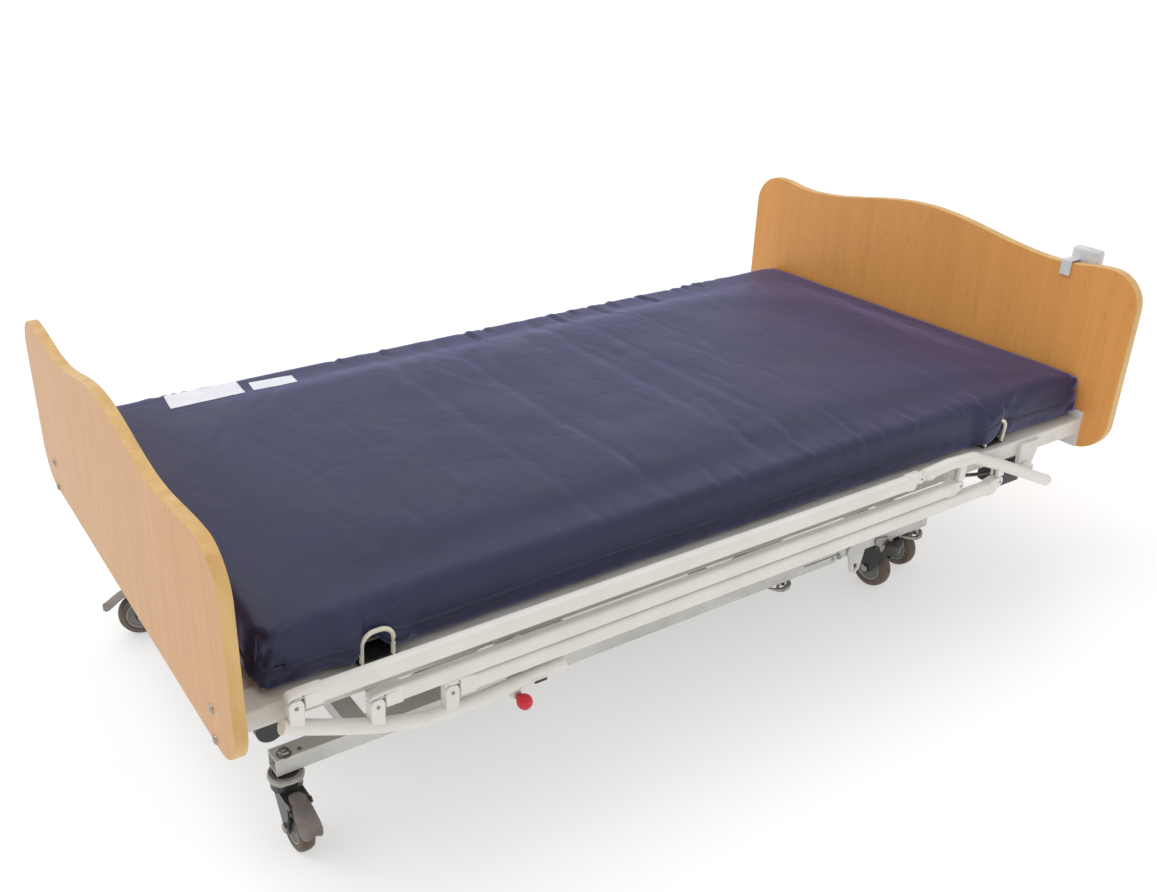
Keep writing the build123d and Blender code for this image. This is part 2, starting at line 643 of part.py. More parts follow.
# Actuators: a housing, and a rod whose end is a plate with an upright slot
def make_actuator(name, y, z, tip, way, face_x, length, stroke, roller_rise):
    # way is the direction that the rod extends in; face_x is where it leaves the housing.
    back_x = face_x - way * length
    middle = face_x - way * length * 0.32
    with BuildPart() as housing:
        block((face_x, back_x), (y - 24, y + 24), (z - 24, z + 24))
        fillet(housing.edges().filter_by(Axis.X), 12)
        block((middle, middle - way * 120), (y - 28, y + 28), (z - 28, z + 28))
        rod_x(face_x + way, face_x - way * (stroke + 60), y, z, ROD_R + RUN_FIT, Mode.SUBTRACT)
    save(housing, f"{name}_housing")
    slot_half = ROLLER_R + YOKE_SLACK
    low = min(tip[1], roller_rise) - ROLLER_R - 3
    high = max(tip[1], roller_rise) + ROLLER_R + 3
    with BuildPart() as rod:
        rod_x(tip[0] - way * 22, face_x - way * (stroke + 50), y, z, ROD_R)
        block((tip[0] - 24, tip[0] + 24), (y - 4, y + 4), (low - 12, high + 12))
        block((tip[0] - slot_half, tip[0] + slot_half), (y - 11, y + 11), (low, high), Mode.SUBTRACT)
    save(rod, f"{name}_rod")


BACK_STROKE = 2 * LEVER * sin(radians(BACK_RANGE / 2))
THIGH_STROKE = 2 * LEVER * sin(radians(THIGH_RANGE / 2))
LIFT_STROKE = 2 * LEVER * sin(radians(LIFT_RANGE / 2))
make_actuator("back_actuator", 70.0, 312.0, BACK_LEVER, 1, 40.0, 370.0, BACK_STROKE, HINGE_Z - LEVER)
make_actuator("leg_actuator", -70.0, 312.0, THIGH_LEVER, -1, 130.0, 330.0, THIGH_STROKE, HINGE_Z - LEVER)
make_actuator("lift_actuator", 10.0, 254.0, LIFT_LEVER, -1, -560.0, 320.0, LIFT_STROKE, LIFT_LOW_Z + LEVER)

# The control box under the near side beam, and a rubber bumper under each beam's foot end
with BuildPart() as control_box:
    block((797, 862), (-502, -440), (280, 344))
    fillet(control_box.edges().filter_by(Axis.X), 8)
    block((812, 846), (-496, -470), (343, BEAM_LOW))
    for side in SIDES.values():
        rod_y(-990, 343, side * 472, side * 500, 24)
        block((-1002, -978), (side * 472, side * 500), (343, BEAM_LOW))
save(control_box, "control_box_and_bumpers")

# Castors
for name, (x, y, heading) in CASTORS.items():
    ahead = Vector(cos(radians(heading)), sin(radians(heading)), 0)
    upright = Plane(origin=(x, y, 0), x_dir=ahead, z_dir=ahead.cross(Vector(0, 0, 1)))
    level = Plane(origin=(x, y, 0), x_dir=ahead, z_dir=(0, 0, 1))

    with BuildPart() as fork:
        with BuildSketch(upright):
            with Locations((TRAIL, WHEEL_R)):
                Circle(13)
            with Locations((20, (CROWN_Z + HEAD_Z) / 2)):
                Rectangle(64, HEAD_Z - CROWN_Z)
            make_hull()
        extrude(amount=FORK_OUT, both=True)
        if name.startswith("foot"):
            with BuildSketch(upright):
                with Locations((40, CROWN_Z)):
                    Circle(5)
                with Locations(PEDAL_PIN):
                    Circle(6)
                make_hull()
            extrude(amount=FORK_OUT, both=True)
        with BuildSketch(upright):
            with Locations((30, CROWN_Z / 2)):
                Rectangle(200, CROWN_Z)
            with Locations((PEDAL_PIN[0] + 5, CROWN_Z)):
                Rectangle(24, 40)
        extrude(amount=FORK_IN, both=True, mode=Mode.SUBTRACT)
        with BuildSketch(level.offset(HEAD_Z - 1)):
            Circle(29)
        extrude(amount=FORK_TOP - HEAD_Z + 1)
        with BuildSketch(level.offset(HEAD_Z + 1)):
            Circle(STEM_R + RUN_FIT)
        extrude(amount=40, mode=Mode.SUBTRACT)
        with BuildSketch(upright):
            with Locations((TRAIL, WHEEL_R)):
                Circle(AXLE_R)
        extrude(amount=FORK_OUT + 3, both=True)
        if name.startswith("foot"):
            with BuildSketch(upright):
                with Locations(PEDAL_PIN):
                    Circle(3)
            extrude(amount=FORK_OUT, both=True)
    save(fork, f"castor_fork_{name}")

    with BuildPart() as wheel:
        with BuildSketch(upright):
            with Locations((TRAIL, WHEEL_R)):
                Circle(WHEEL_R)
        extrude(amount=WHEEL_W / 2, both=True)
        fillet(wheel.edges(), 7)
        with BuildSketch(upright):
            with Locations((TRAIL, WHEEL_R)):
                Circle(AXLE_R + RUN_FIT)
        extrude(amount=WHEEL_W, both=True, mode=Mode.SUBTRACT)
    save(wheel, f"castor_wheel_{name}")

    if name.startswith("foot"):
        with BuildPart() as pedal:
            with BuildSketch(upright):
                with Locations(PEDAL_PIN):
                    Circle(6)
                with Locations((104, 88)):
                    Circle(3)
                make_hull()
            extrude(amount=FORK_IN - 1, both=True)
            with BuildSketch(upright):
                with Locations(PEDAL_PIN):
                    Circle(3 + RUN_FIT)
            extrude(amount=FORK_IN, both=True, mode=Mode.SUBTRACT)
        save(pedal, f"brake_pedal_{name.split('_')[1]}")

for name, side in SIDES.items():
    with BuildPart() as transport_wheel:
        wheel_x = (TRANSPORT_X - WHEEL_W / 2, TRANSPORT_X + WHEEL_W / 2)
        rod_x(*wheel_x, side * TRANSPORT_Y, WHEEL_R, TRANSPORT_R)
        fillet(transport_wheel.edges(), 7)
        rod_x(*wheel_x, side * TRANSPORT_Y, WHEEL_R, AXLE_R + RUN_FIT, Mode.SUBTRACT)
    save(transport_wheel, f"transport_wheel_{name}")

# Handset: a rounded body behind the headboard, a hook over the board's top, three rocker keys
with BuildPart() as handset:
    handset_y = (HANDSET_Y - HANDSET_W / 2, HANDSET_Y + HANDSET_W / 2)
    block((HANDSET_X0, HANDSET_X1), handset_y, (HANDSET_LOW, HANDSET_TOP))
    fillet(handset.edges().filter_by(Axis.X), 12)
    hook_y = (HOOK_Y - HOOK_W / 2, HOOK_Y + HOOK_W / 2)
    hook_in = HEAD_INNER_X - 0.5
    block((hook_in - 2.5, HANDSET_X0 + 1), hook_y, (HOOK_Z, HOOK_Z + 3))
    block((hook_in - 2.5, hook_in), hook_y, (HOOK_TIP_Z, HOOK_Z + 3))
    for z in KEY_LEVELS:
        block((HANDSET_X1 - 8, HANDSET_X1 + 1), (HANDSET_Y - 22, HANDSET_Y + 22), (z - 11, z + 11), Mode.SUBTRACT)
save(handset, "handset")

for name, z in zip(("lift", "leg", "back"), KEY_LEVELS):
    with BuildPart() as key:
        block((HANDSET_X1 - 5, KEY_FACE_X), (HANDSET_Y - 21, HANDSET_Y + 21), (z - 9, z + 9))
        fillet(key.faces().sort_by(Axis.X)[-1].edges(), 1.2)
    save(key, f"key_{name}")

print("back stroke", round(BACK_STROKE, 3), "leg stroke", round(THIGH_STROKE, 3), "lift stroke", round(LIFT_STROKE, 3))
print("lift dx", round(LIFT_DX, 3), "start angle", round(degrees(asin((LIFT_TOP_Z - LIFT_LOW_Z) / LIFT_LENGTH)), 3))
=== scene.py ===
# %% [markdown]
# # An adjustable care bed
# This lesson dresses a jointed CAD model of a care bed: wooden end boards, a wipe-clean mattress,
# powder-coated steel, castors and side rails. The CAD model gives every place and size, in metres.
# +X runs to the head end, +Z is up, and the "near" side is -Y.

# %% Load the frame
import json
import math
import random

import bmesh
import bpy
import numpy as np
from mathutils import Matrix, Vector, noise
from mathutils.bvhtree import BVHTree


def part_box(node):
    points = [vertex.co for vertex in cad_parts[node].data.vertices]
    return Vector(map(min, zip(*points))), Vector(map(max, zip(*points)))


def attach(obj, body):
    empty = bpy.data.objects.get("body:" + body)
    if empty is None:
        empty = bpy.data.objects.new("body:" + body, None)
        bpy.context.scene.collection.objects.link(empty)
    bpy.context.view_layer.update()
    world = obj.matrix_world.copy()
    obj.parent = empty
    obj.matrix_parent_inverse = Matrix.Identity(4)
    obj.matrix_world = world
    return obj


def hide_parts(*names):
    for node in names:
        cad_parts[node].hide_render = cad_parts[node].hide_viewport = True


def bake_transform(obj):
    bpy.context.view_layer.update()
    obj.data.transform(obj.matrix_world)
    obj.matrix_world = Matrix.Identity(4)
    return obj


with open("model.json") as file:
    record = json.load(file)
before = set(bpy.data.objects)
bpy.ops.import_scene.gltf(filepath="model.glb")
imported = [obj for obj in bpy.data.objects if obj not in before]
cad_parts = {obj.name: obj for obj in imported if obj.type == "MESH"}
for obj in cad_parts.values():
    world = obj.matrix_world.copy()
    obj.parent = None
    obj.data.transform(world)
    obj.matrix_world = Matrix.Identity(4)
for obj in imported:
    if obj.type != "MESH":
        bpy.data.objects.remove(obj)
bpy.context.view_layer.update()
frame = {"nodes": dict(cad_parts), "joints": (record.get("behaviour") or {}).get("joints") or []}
SIDES = {"near": -1, "far": 1}

# %% [markdown]
# ## Camera
# The bed is seen from above its near foot corner. A lens of about 37 mm keeps the long side rails
# straight and lets the foot end loom a little larger than the head end. A small shift frames the
# bed off centre, which keeps the upright edges as they are.

# %% Camera
camera_data = bpy.data.cameras.new("view")
camera_data.lens = 36.6
camera_data.sensor_width = 36.0
camera_data.shift_x = 0.0826
camera_data.clip_end = 60
camera = bpy.data.objects.new("view", camera_data)
bpy.context.scene.collection.objects.link(camera)
VIEW_YAW = 0.550
VIEW_PITCH = 0.450
look = Vector((
    math.sin(VIEW_YAW) * math.cos(VIEW_PITCH),
    math.cos(VIEW_YAW) * math.cos(VIEW_PITCH),
    -math.sin(VIEW_PITCH),
))
camera.location = (-1.4736, -1.9271, 1.5472)
camera.rotation_euler = look.to_track_quat("-Z", "Y").to_euler()
bpy.context.scene.camera = camera
print("camera at", tuple(camera.location))

# %% [markdown]
# ## Floor and light
# A white studio floor under a white sky gives almost shadowless light, as in a product picture.
# One broad, soft sun above the foot end adds a little shape and a faint shadow on the head side.

# %% Floor and light
def shader_material(name, color=(0.8, 0.8, 0.8), roughness=0.5, metallic=0.0):
    material = bpy.data.materials.new(name)
    material.use_nodes = True
    shader = material.node_tree.nodes["Principled BSDF"]
    shader.inputs["Base Color"].default_value = (*color, 1)
    shader.inputs["Roughness"].default_value = roughness
    shader.inputs["Metallic"].default_value = metallic
    return material, material.node_tree, shader


def link_mesh(name, mesh, *materials):
    piece = bpy.data.objects.new(name, mesh)
    bpy.context.scene.collection.objects.link(piece)
    for material in materials:
        mesh.materials.append(material)
    return piece


def mesh_piece(name, body, finishes, sharp_degrees=None, turn_outward=True):
    # Turns an edited mesh into an object. Edges sharper than sharp_degrees stay crisp.
    if turn_outward:
        bmesh.ops.recalc_face_normals(body, faces=body.faces)
    mesh = bpy.data.meshes.new(name)
    body.to_mesh(mesh)
    body.free()
    if sharp_degrees:
        mesh.set_sharp_from_angle(angle=math.radians(sharp_degrees))
    return link_mesh(name, mesh, *finishes)


floor_paint, _, floor_shader = shader_material("floor_paint", (0.58, 0.58, 0.585), 0.9)
floor_shader.inputs["Specular IOR Level"].default_value = 0.1
floor_shader.inputs["Emission Color"].default_value = (1, 1, 1, 1)
floor_shader.inputs["Emission Strength"].default_value = 0.46
floor_mesh = bpy.data.meshes.new("floor")
FLOOR = 45.0
floor_corners = [(-FLOOR, -FLOOR, 0), (FLOOR, -FLOOR, 0), (FLOOR, FLOOR, 0), (-FLOOR, FLOOR, 0)]
floor_mesh.from_pydata(floor_corners, [], [(0, 1, 2, 3)])
floor = link_mesh("floor", floor_mesh, floor_paint)

world = bpy.data.worlds.new("studio")
bpy.context.scene.world = world
world.use_nodes = True
sky = world.node_tree.nodes["Background"]
sky.inputs["Color"].default_value = (1.0, 1.0, 1.0, 1)
sky.inputs["Strength"].default_value = 0.80

sun_data = bpy.data.lights.new("soft_sun", "SUN")
sun_data.energy = 1.15
sun_data.angle = math.radians(50)
soft_sun = bpy.data.objects.new("soft_sun", sun_data)
soft_sun.rotation_euler = Vector((-0.45, 0.40, 1.0)).to_track_quat("Z", "Y").to_euler()
bpy.context.scene.collection.objects.link(soft_sun)
bpy.context.scene.view_settings.view_transform = "Standard"

# %% [markdown]
# ## Node helpers
# Every finish is procedural and reads Object coordinates, which are metres in the bed's own frame,
# so a pattern keeps its real scale on every piece. These helpers add one node each and keep the
# finishes below short.

# %% Node helpers
def add_node(tree, kind, **values):
    node = tree.nodes.new(kind)
    for key, value in values.items():
        if hasattr(node, key):
            setattr(node, key, value)
        else:
            node.inputs[key.replace("_", " ")].default_value = value
    return node


def object_noise(tree, scale, stretch=(1, 1, 1), detail=3.0, roughness=0.55):
    place = add_node(tree, "ShaderNodeTexCoord")
    mapping = add_node(tree, "ShaderNodeMapping", Scale=stretch)
    cloud = add_node(tree, "ShaderNodeTexNoise", Scale=scale, Detail=detail, Roughness=roughness)
    tree.links.new(place.outputs["Object"], mapping.inputs["Vector"])
    tree.links.new(mapping.outputs["Vector"], cloud.inputs["Vector"])
    return cloud.outputs["Fac"]


def color_ramp(tree, value, stops):
    ramp = add_node(tree, "ShaderNodeValToRGB")
    while len(ramp.color_ramp.elements) < len(stops):
        ramp.color_ramp.elements.new(0.5)
    for element, (place, color) in zip(ramp.color_ramp.elements, stops):
        element.position = place
        element.color = (*color, 1)
    tree.links.new(value, ramp.inputs["Fac"])
    return ramp.outputs["Color"]


def value_range(tree, value, low, high, to_low=0.0, to_high=1.0):
    remap = add_node(tree, "ShaderNodeMapRange", From_Min=low, From_Max=high, To_Min=to_low, To_Max=to_high)
    tree.links.new(value, remap.inputs["Value"])
    return remap.outputs["Result"]


def mix_color(tree, factor, first, second):
    # The sockets by number are the factor and the two colours.
    mix = add_node(tree, "ShaderNodeMix", data_type="RGBA")
    for socket, value in ((mix.inputs[0], factor), (mix.inputs[6], first), (mix.inputs[7], second)):
        if isinstance(value, (int, float)):
            socket.default_value = value
        elif isinstance(value, tuple):
            socket.default_value = (*value, 1)
        else:
            tree.links.new(value, socket)
    return mix.outputs[2]


def drive(tree, shader, **sources):
    # Links a source to each named input of the shader.
    for key, source in sources.items():
        tree.links.new(source, shader.inputs[key.replace("_", " ")])


def add_bump(tree, shader, height, strength, distance):
    bump = add_node(tree, "ShaderNodeBump", Strength=strength, Distance=distance)
    tree.links.new(height, bump.inputs["Height"])
    previous = shader.inputs["Normal"]
    if previous.is_linked:
        tree.links.new(previous.links[0].from_socket, bump.inputs["Normal"])
    tree.links.new(bump.outputs["Normal"], shader.inputs["Normal"])


# %% [markdown]
# ## Painted and plated metal
# Powder coat is never perfectly even: it has a fine orange-peel skin, a little yellowing, and dust
# that settles in patches. Chrome and zinc keep a clean colour and get their life from roughness.

# %% Metal finishes
def powder_coat(name, color, grime, roughness=0.38):
    material, tree, shader = shader_material(name, color, roughness)
    patches = object_noise(tree, 9.0, detail=5.0)
    tint = color_ramp(tree, patches, [(0.35, grime), (0.6, color)])
    specks = value_range(tree, object_noise(tree, 110.0, detail=3.0), 0.70, 0.80, 0.0, 0.4)
    drive(tree, shader, Base_Color=mix_color(tree, specks, tint, tuple(c * 0.7 for c in grime)),
          Roughness=value_range(tree, patches, 0.3, 0.7, roughness + 0.1, roughness - 0.06))
    add_bump(tree, shader, object_noise(tree, 900.0, detail=1.0), 0.18, 0.0003)
    return material


def plated(name, color, roughness, streak=(1, 1, 1)):
    material, tree, shader = shader_material(name, color, roughness, 1.0)
    wear = object_noise(tree, 60.0, streak, detail=4.0)
    drive(tree, shader, Roughness=value_range(tree, wear, 0.3, 0.7, roughness * 0.6, roughness * 1.7),
          Base_Color=color_ramp(tree, wear, [(0.25, tuple(c * 0.72 for c in color)), (0.55, color)]))
    return material


frame_paint = powder_coat("frame_paint", (0.72, 0.70, 0.66), (0.63, 0.60, 0.55))
rail_paint = powder_coat("rail_paint", (0.74, 0.725, 0.67), (0.70, 0.68, 0.62), 0.30)
chassis_paint = powder_coat("chassis_paint", (0.62, 0.61, 0.57), (0.50, 0.49, 0.45))
arm_paint = powder_coat("arm_paint", (0.42, 0.39, 0.33), (0.30, 0.27, 0.22), 0.45)
chrome = plated("chrome", (0.34, 0.33, 0.30), 0.14)
zinc = plated("zinc", (0.36, 0.34, 0.31), 0.26)
rod_steel = plated("rod_steel", (0.66, 0.67, 0.68), 0.16, (1, 12, 12))
print("metal finishes", [m.name for m in bpy.data.materials])

# %% [markdown]
# ## Beech laminate
# The boards are chipboard faced with a beech print: narrow upright bands with short dark flecks.
# Noise stretched along Z makes the bands, and a finer, shorter noise makes the flecks. The sawn
# edge is closed with a paler plastic band, so it has a finish of its own.

# %% Wood finishes
def beech(name, light, dark, fleck):
    material, tree, shader = shader_material(name, light, 0.36)
    bands = object_noise(tree, 1.0, (60, 34, 1.1), detail=4.0, roughness=0.6)
    fibres = object_noise(tree, 1.0, (900, 300, 6), detail=3.0, roughness=0.7)
    flecks = value_range(tree, object_noise(tree, 1.0, (700, 240, 22), detail=1.0), 0.64, 0.74, 0.0, 0.30)
    between = tuple((a + 2 * b) / 3 for a, b in zip(dark, light))
    tone = color_ramp(tree, bands, [(0.28, between), (0.52, light), (0.74, tuple(c * 1.05 for c in light))])
    grain = mix_color(tree, value_range(tree, fibres, 0.35, 0.7, 0.0, 0.38), tone, dark)
    drive(tree, shader, Base_Color=mix_color(tree, flecks, grain, fleck),
          Roughness=value_range(tree, fibres, 0.3, 0.7, 0.30, 0.42))
    add_bump(tree, shader, fibres, 0.12, 0.0002)
    shader.inputs["Specular IOR Level"].default_value = 0.3
    return material


# Both boards are one beech laminate. The footboard's copy is darker, which paints shade on its outer face.
beech_head = beech("beech_head", (0.74, 0.345, 0.098), (0.62, 0.265, 0.068), (0.40, 0.15, 0.038))
beech_foot = beech("beech_foot", (0.56, 0.290, 0.100), (0.47, 0.225, 0.070), (0.32, 0.135, 0.04))
edge_band, band_tree, band_shader = shader_material("edge_band", (0.74, 0.50, 0.23), 0.42)
band_noise = object_noise(band_tree, 30.0, (1, 1, 0.2), detail=4.0)
band_color = color_ramp(band_tree, band_noise, [(0.3, (0.58, 0.33, 0.105)), (0.65, (0.68, 0.44, 0.17))])
drive(band_tree, band_shader, Base_Color=band_color)
add_bump(band_tree, band_shader, object_noise(band_tree, 500.0), 0.1, 0.0002)

# %% [markdown]
# ## Plastics and rubber
# Moulded plastic has a fine spark-eroded texture and a broad soft highlight. Castor tyres pick up
# floor dust on the tread, so their colour changes with a low noise.

# %% Plastic and rubber finishes
def moulded(name, color, roughness, grain=0.12, dust=None):
    material, tree, shader = shader_material(name, color, roughness)
    patches = object_noise(tree, 22.0, detail=4.0)
    other = dust or tuple(c * 0.82 for c in color)
    drive(tree, shader, Base_Color=color_ramp(tree, patches, [(0.36, other), (0.62, color)]),
          Roughness=value_range(tree, patches, 0.3, 0.7, roughness + 0.08, roughness - 0.05))
    add_bump(tree, shader, object_noise(tree, 1400.0, detail=1.0), grain, 0.0002)
    return material


rail_plastic = moulded("rail_plastic", (0.74, 0.72, 0.665), 0.30, dust=(0.70, 0.68, 0.62))
black_plastic = moulded("black_plastic", (0.018, 0.018, 0.019), 0.42, dust=(0.04, 0.038, 0.035))
fork_black = moulded("fork_black", (0.022, 0.022, 0.023), 0.34, dust=(0.05, 0.047, 0.043))
tread_rubber = moulded("tread_rubber", (0.075, 0.050, 0.034), 0.55, 0.3, dust=(0.14, 0.105, 0.075))
hub_grey = moulded("hub_grey", (0.13, 0.13, 0.118), 0.38, dust=(0.20, 0.195, 0.175))
hub_rim = moulded("hub_rim", (0.42, 0.41, 0.37), 0.4)
pedal_grey = moulded("pedal_grey", (0.16, 0.135, 0.12), 0.45, 0.25, dust=(0.24, 0.21, 0.19))
knob_red = moulded("knob_red", (0.62, 0.006, 0.022), 0.16, 0.03, dust=(0.5, 0.004, 0.018))
cream_coat = moulded("cream_coat", (0.80, 0.76, 0.62), 0.22, 0.05)
handset_shell = moulded("handset_shell", (0.66, 0.67, 0.68), 0.4)
key_rubber = moulded("key_rubber", (0.12, 0.13, 0.15), 0.55)
label_film = moulded("label_film", (0.82, 0.83, 0.88), 0.5, 0.02, dust=(0.74, 0.75, 0.82))
print("finishes so far", len(bpy.data.materials))

# %% [markdown]
# ## Mattress cover
# The cover is a polyurethane-coated knit: dark indigo, almost matt, with a faint sheen at grazing
# angles. Large folds are modelled; the skin's own small puckers and knit come from bump, and a
# slow noise rubs the colour lighter where the cover is handled.

# %% Cover finish
cover_cloth, cover_tree, cover_shader = shader_material("cover_cloth", (0.022, 0.024, 0.062), 0.46)
rubbed = object_noise(cover_tree, 5.0, (1, 1.6, 1), detail=5.0)
cover_color = color_ramp(cover_tree, rubbed, [(0.3, (0.016, 0.018, 0.052)), (0.7, (0.026, 0.028, 0.074))])
drive(cover_tree, cover_shader, Base_Color=cover_color,
      Roughness=value_range(cover_tree, rubbed, 0.3, 0.7, 0.40, 0.54))
cover_shader.inputs["Specular IOR Level"].default_value = 0.38
cover_shader.inputs["Sheen Weight"].default_value = 0.75
cover_shader.inputs["Sheen Roughness"].default_value = 0.33
cover_shader.inputs["Sheen Tint"].default_value = (0.44, 0.44, 1.0, 1)
puckers = object_noise(cover_tree, 16.0, (2.2, 0.7, 1), detail=5.0, roughness=0.6)
add_bump(cover_tree, cover_shader, puckers, 0.35, 0.004)
for fold_scale, fold_stretch, fold_height in ((1.9, (2.2, 0.6, 1.0), 0.0016), (4.5, (1.0, 2.0, 1.0), 0.0006)):
    fold_noise = object_noise(cover_tree, fold_scale, fold_stretch, detail=1.5, roughness=0.4)
    centred = add_node(cover_tree, "ShaderNodeMath", operation="SUBTRACT")
    centred.inputs[1].default_value = 0.5
    cover_tree.links.new(fold_noise, centred.inputs[0])
    ridge = add_node(cover_tree, "ShaderNodeMath", operation="ABSOLUTE")
    cover_tree.links.new(centred.outputs[0], ridge.inputs[0])
    add_bump(cover_tree, cover_shader, value_range(cover_tree, ridge.outputs[0], 0.0, 0.045), 0.4, fold_height)
add_bump(cover_tree, cover_shader, object_noise(cover_tree, 1300.0, detail=1.0), 0.12, 0.0002)
cover_edge = moulded("cover_edge", (0.020, 0.022, 0.055), 0.5)

# %% [markdown]
# ## End boards
# A board is a panel with a wave along its top: a crest in the middle, a trough each side and a
# rounded shoulder. Half a cosine joins each high and low point, which is smooth where they meet.
# The outline is extruded to a solid and its rims get a small live bevel, like the real edge band.

# %% End boards
def half_wave(low, high, start, end, steps):
    # Points of y and z from (start, low) to (end, high) along half a cosine.
    points = []
    for step in range(steps):
        share = step / steps
        rise = (1 - math.cos(math.pi * share)) / 2
        points.append((start + (end - start) * share, low + (high - low) * rise))
    return points


def quarter_arc(cy, cz, radius, start, steps=14):
    angles = [start - math.pi / 2 * k / steps for k in range(steps + 1)]
    return [(cy + radius * math.cos(a), cz + radius * math.sin(a)) for a in angles]


def board_outline(half, low, crest, trough, trough_y, peak, corner):
    flat = half - corner
    right = half_wave(crest, trough, 0, trough_y, 30) + half_wave(trough, peak, trough_y, flat, 22)
    right += quarter_arc(flat, peak - corner, corner, math.pi / 2)
    right += quarter_arc(flat, low + corner, corner, 0)
    left = [(-y, z) for y, z in reversed(right[1:])]
    return right + left


def make_board(name, x0, x1, outline, face_finish):
    sheet = bmesh.new()
    rims = [[sheet.verts.new((x, y, z)) for y, z in outline] for x in (x0, x1)]
    sheet.faces.new(rims[0])
    sheet.faces.new(list(reversed(rims[1])))
    count = len(outline)
    for k in range(count):
        wall = sheet.faces.new((rims[0][k], rims[1][k], rims[1][(k + 1) % count], rims[0][(k + 1) % count]))
        wall.material_index = 1
        wall.smooth = True
    board = mesh_piece(name, sheet, (face_finish, edge_band))
    rim = board.modifiers.new("rim", "BEVEL")
    rim.width = 0.0022
    rim.segments = 3
    rim.limit_method = "ANGLE"
    rim.angle_limit = math.radians(50)
    rim.harden_normals = True
    print(name, "outline points", count)
    return board


foot_low, foot_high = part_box("footboard")
head_low, head_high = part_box("headboard")
foot_top, head_top = foot_high[2], head_high[2]
foot_shape = board_outline(half=foot_high[1], low=foot_low[2], crest=foot_top, trough=foot_top - 0.041,
                           trough_y=0.305, peak=foot_top - 0.026, corner=0.080)
head_shape = board_outline(half=head_high[1], low=head_low[2], crest=head_top, trough=head_top - 0.045,
                           trough_y=0.390, peak=head_top - 0.033, corner=0.078)
footboard = make_board("footboard_panel", foot_low[0], foot_high[0], foot_shape, beech_foot)
headboard = make_board("headboard_panel", head_low[0], head_high[0], head_shape, beech_head)
for board, node in ((footboard, "footboard"), (headboard, "headboard")):
    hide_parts(node)
    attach(board, "upper_frame")

# %% [markdown]
# ## Turned parts
# Wheels, knobs, bolt heads and rings are turned shapes. One helper turns a profile of
# (along, radius) points about any axis and closes it, so that every part has outward faces.

# %% Turning helper
def turned(name, centre, axis, profile, finishes, zones=None, steps=48, ring=False):
    # The profile's points are (along the axis, radius). A ring joins its last point to its first.
    axis = Vector(axis).normalized()
    side = axis.orthogonal().normalized()
    other = axis.cross(side)
    centre = Vector(centre)
    body = bmesh.new()
    loops = []
    for along, radius in profile:
        if radius < 1e-6:
            loops.append([body.verts.new(centre + axis * along)] * steps)
            continue
        turn = [2 * math.pi * k / steps for k in range(steps)]
        spots = [centre + axis * along + (side * math.cos(t) + other * math.sin(t)) * radius for t in turn]
        loops.append([body.verts.new(spot) for spot in spots])
    pairs = list(zip(loops, loops[1:]))
    if ring:
        pairs.append((loops[-1], loops[0]))
    for number, (first, second) in enumerate(pairs):
        for k in range(steps):
            corners = []
            for vertex in (first[k], first[(k + 1) % steps], second[(k + 1) % steps], second[k]):
                if vertex not in corners:
                    corners.append(vertex)
            if len(corners) > 2:
                face = body.faces.new(corners)
                face.smooth = True
                face.material_index = zones[number] if zones else 0
    return mesh_piece(name, body, finishes, 35)


def merged(name, parts):
    # One object from several, keeping their finishes.
    finishes = []
    whole = bmesh.new()
    for part in parts:
        slots = []
        for material in part.data.materials:
            if material not in finishes:
                finishes.append(material)
            slots.append(finishes.index(material))
        before = len(whole.faces)
        whole.from_mesh(part.data)
        whole.faces.ensure_lookup_table()
        for face in whole.faces[before:]:
            face.material_index = slots[face.material_index]
    for part in parts:
        bpy.data.objects.remove(part)
    return mesh_piece(name, whole, finishes, turn_outward=False)


# %% [markdown]
# ## Board bolts
# Each board is held by four bolts whose domed heads show. The heads repeat, so a small Geometry
# Nodes tree puts one head on each point of a mesh, realizes the copies and sets their finish.

# %% Repeating tree
def repeat_tree(name, finish, copy):
    tree = bpy.data.node_groups.new(name, "GeometryNodeTree")
    tree.interface.new_socket("Geometry", in_out="INPUT", socket_type="NodeSocketGeometry")
    size = tree.interface.new_socket("Size", in_out="INPUT", socket_type="NodeSocketFloat")
    size.default_value = 1.0
    tree.interface.new_socket("Geometry", in_out="OUTPUT", socket_type="NodeSocketGeometry")
    start = tree.nodes.new("NodeGroupInput")
    end = tree.nodes.new("NodeGroupOutput")
    info = tree.nodes.new("GeometryNodeObjectInfo")
    info.inputs["Object"].default_value = copy
    info.inputs["As Instance"].default_value = True
    turn = tree.nodes.new("FunctionNodeAlignRotationToVector")
    turn.axis = "Z"
    heading = tree.nodes.new("GeometryNodeInputNamedAttribute")
    heading.data_type = "FLOAT_VECTOR"
    heading.inputs["Name"].default_value = "heading"
    spread = tree.nodes.new("GeometryNodeInstanceOnPoints")
    real = tree.nodes.new("GeometryNodeRealizeInstances")
    paint = tree.nodes.new("GeometryNodeSetMaterial")
    paint.inputs["Material"].default_value = finish
    links = tree.links
    links.new(start.outputs["Geometry"], spread.inputs["Points"])
    links.new(info.outputs["Geometry"], spread.inputs["Instance"])
    links.new(heading.outputs["Attribute"], turn.inputs["Vector"])
    links.new(turn.outputs["Rotation"], spread.inputs["Rotation"])
    links.new(start.outputs["Size"], spread.inputs["Scale"])
    links.new(spread.outputs["Instances"], real.inputs["Geometry"])
    links.new(real.outputs["Geometry"], paint.inputs["Geometry"])
    links.new(paint.outputs["Geometry"], end.inputs["Geometry"])
    return tree, size.identifier


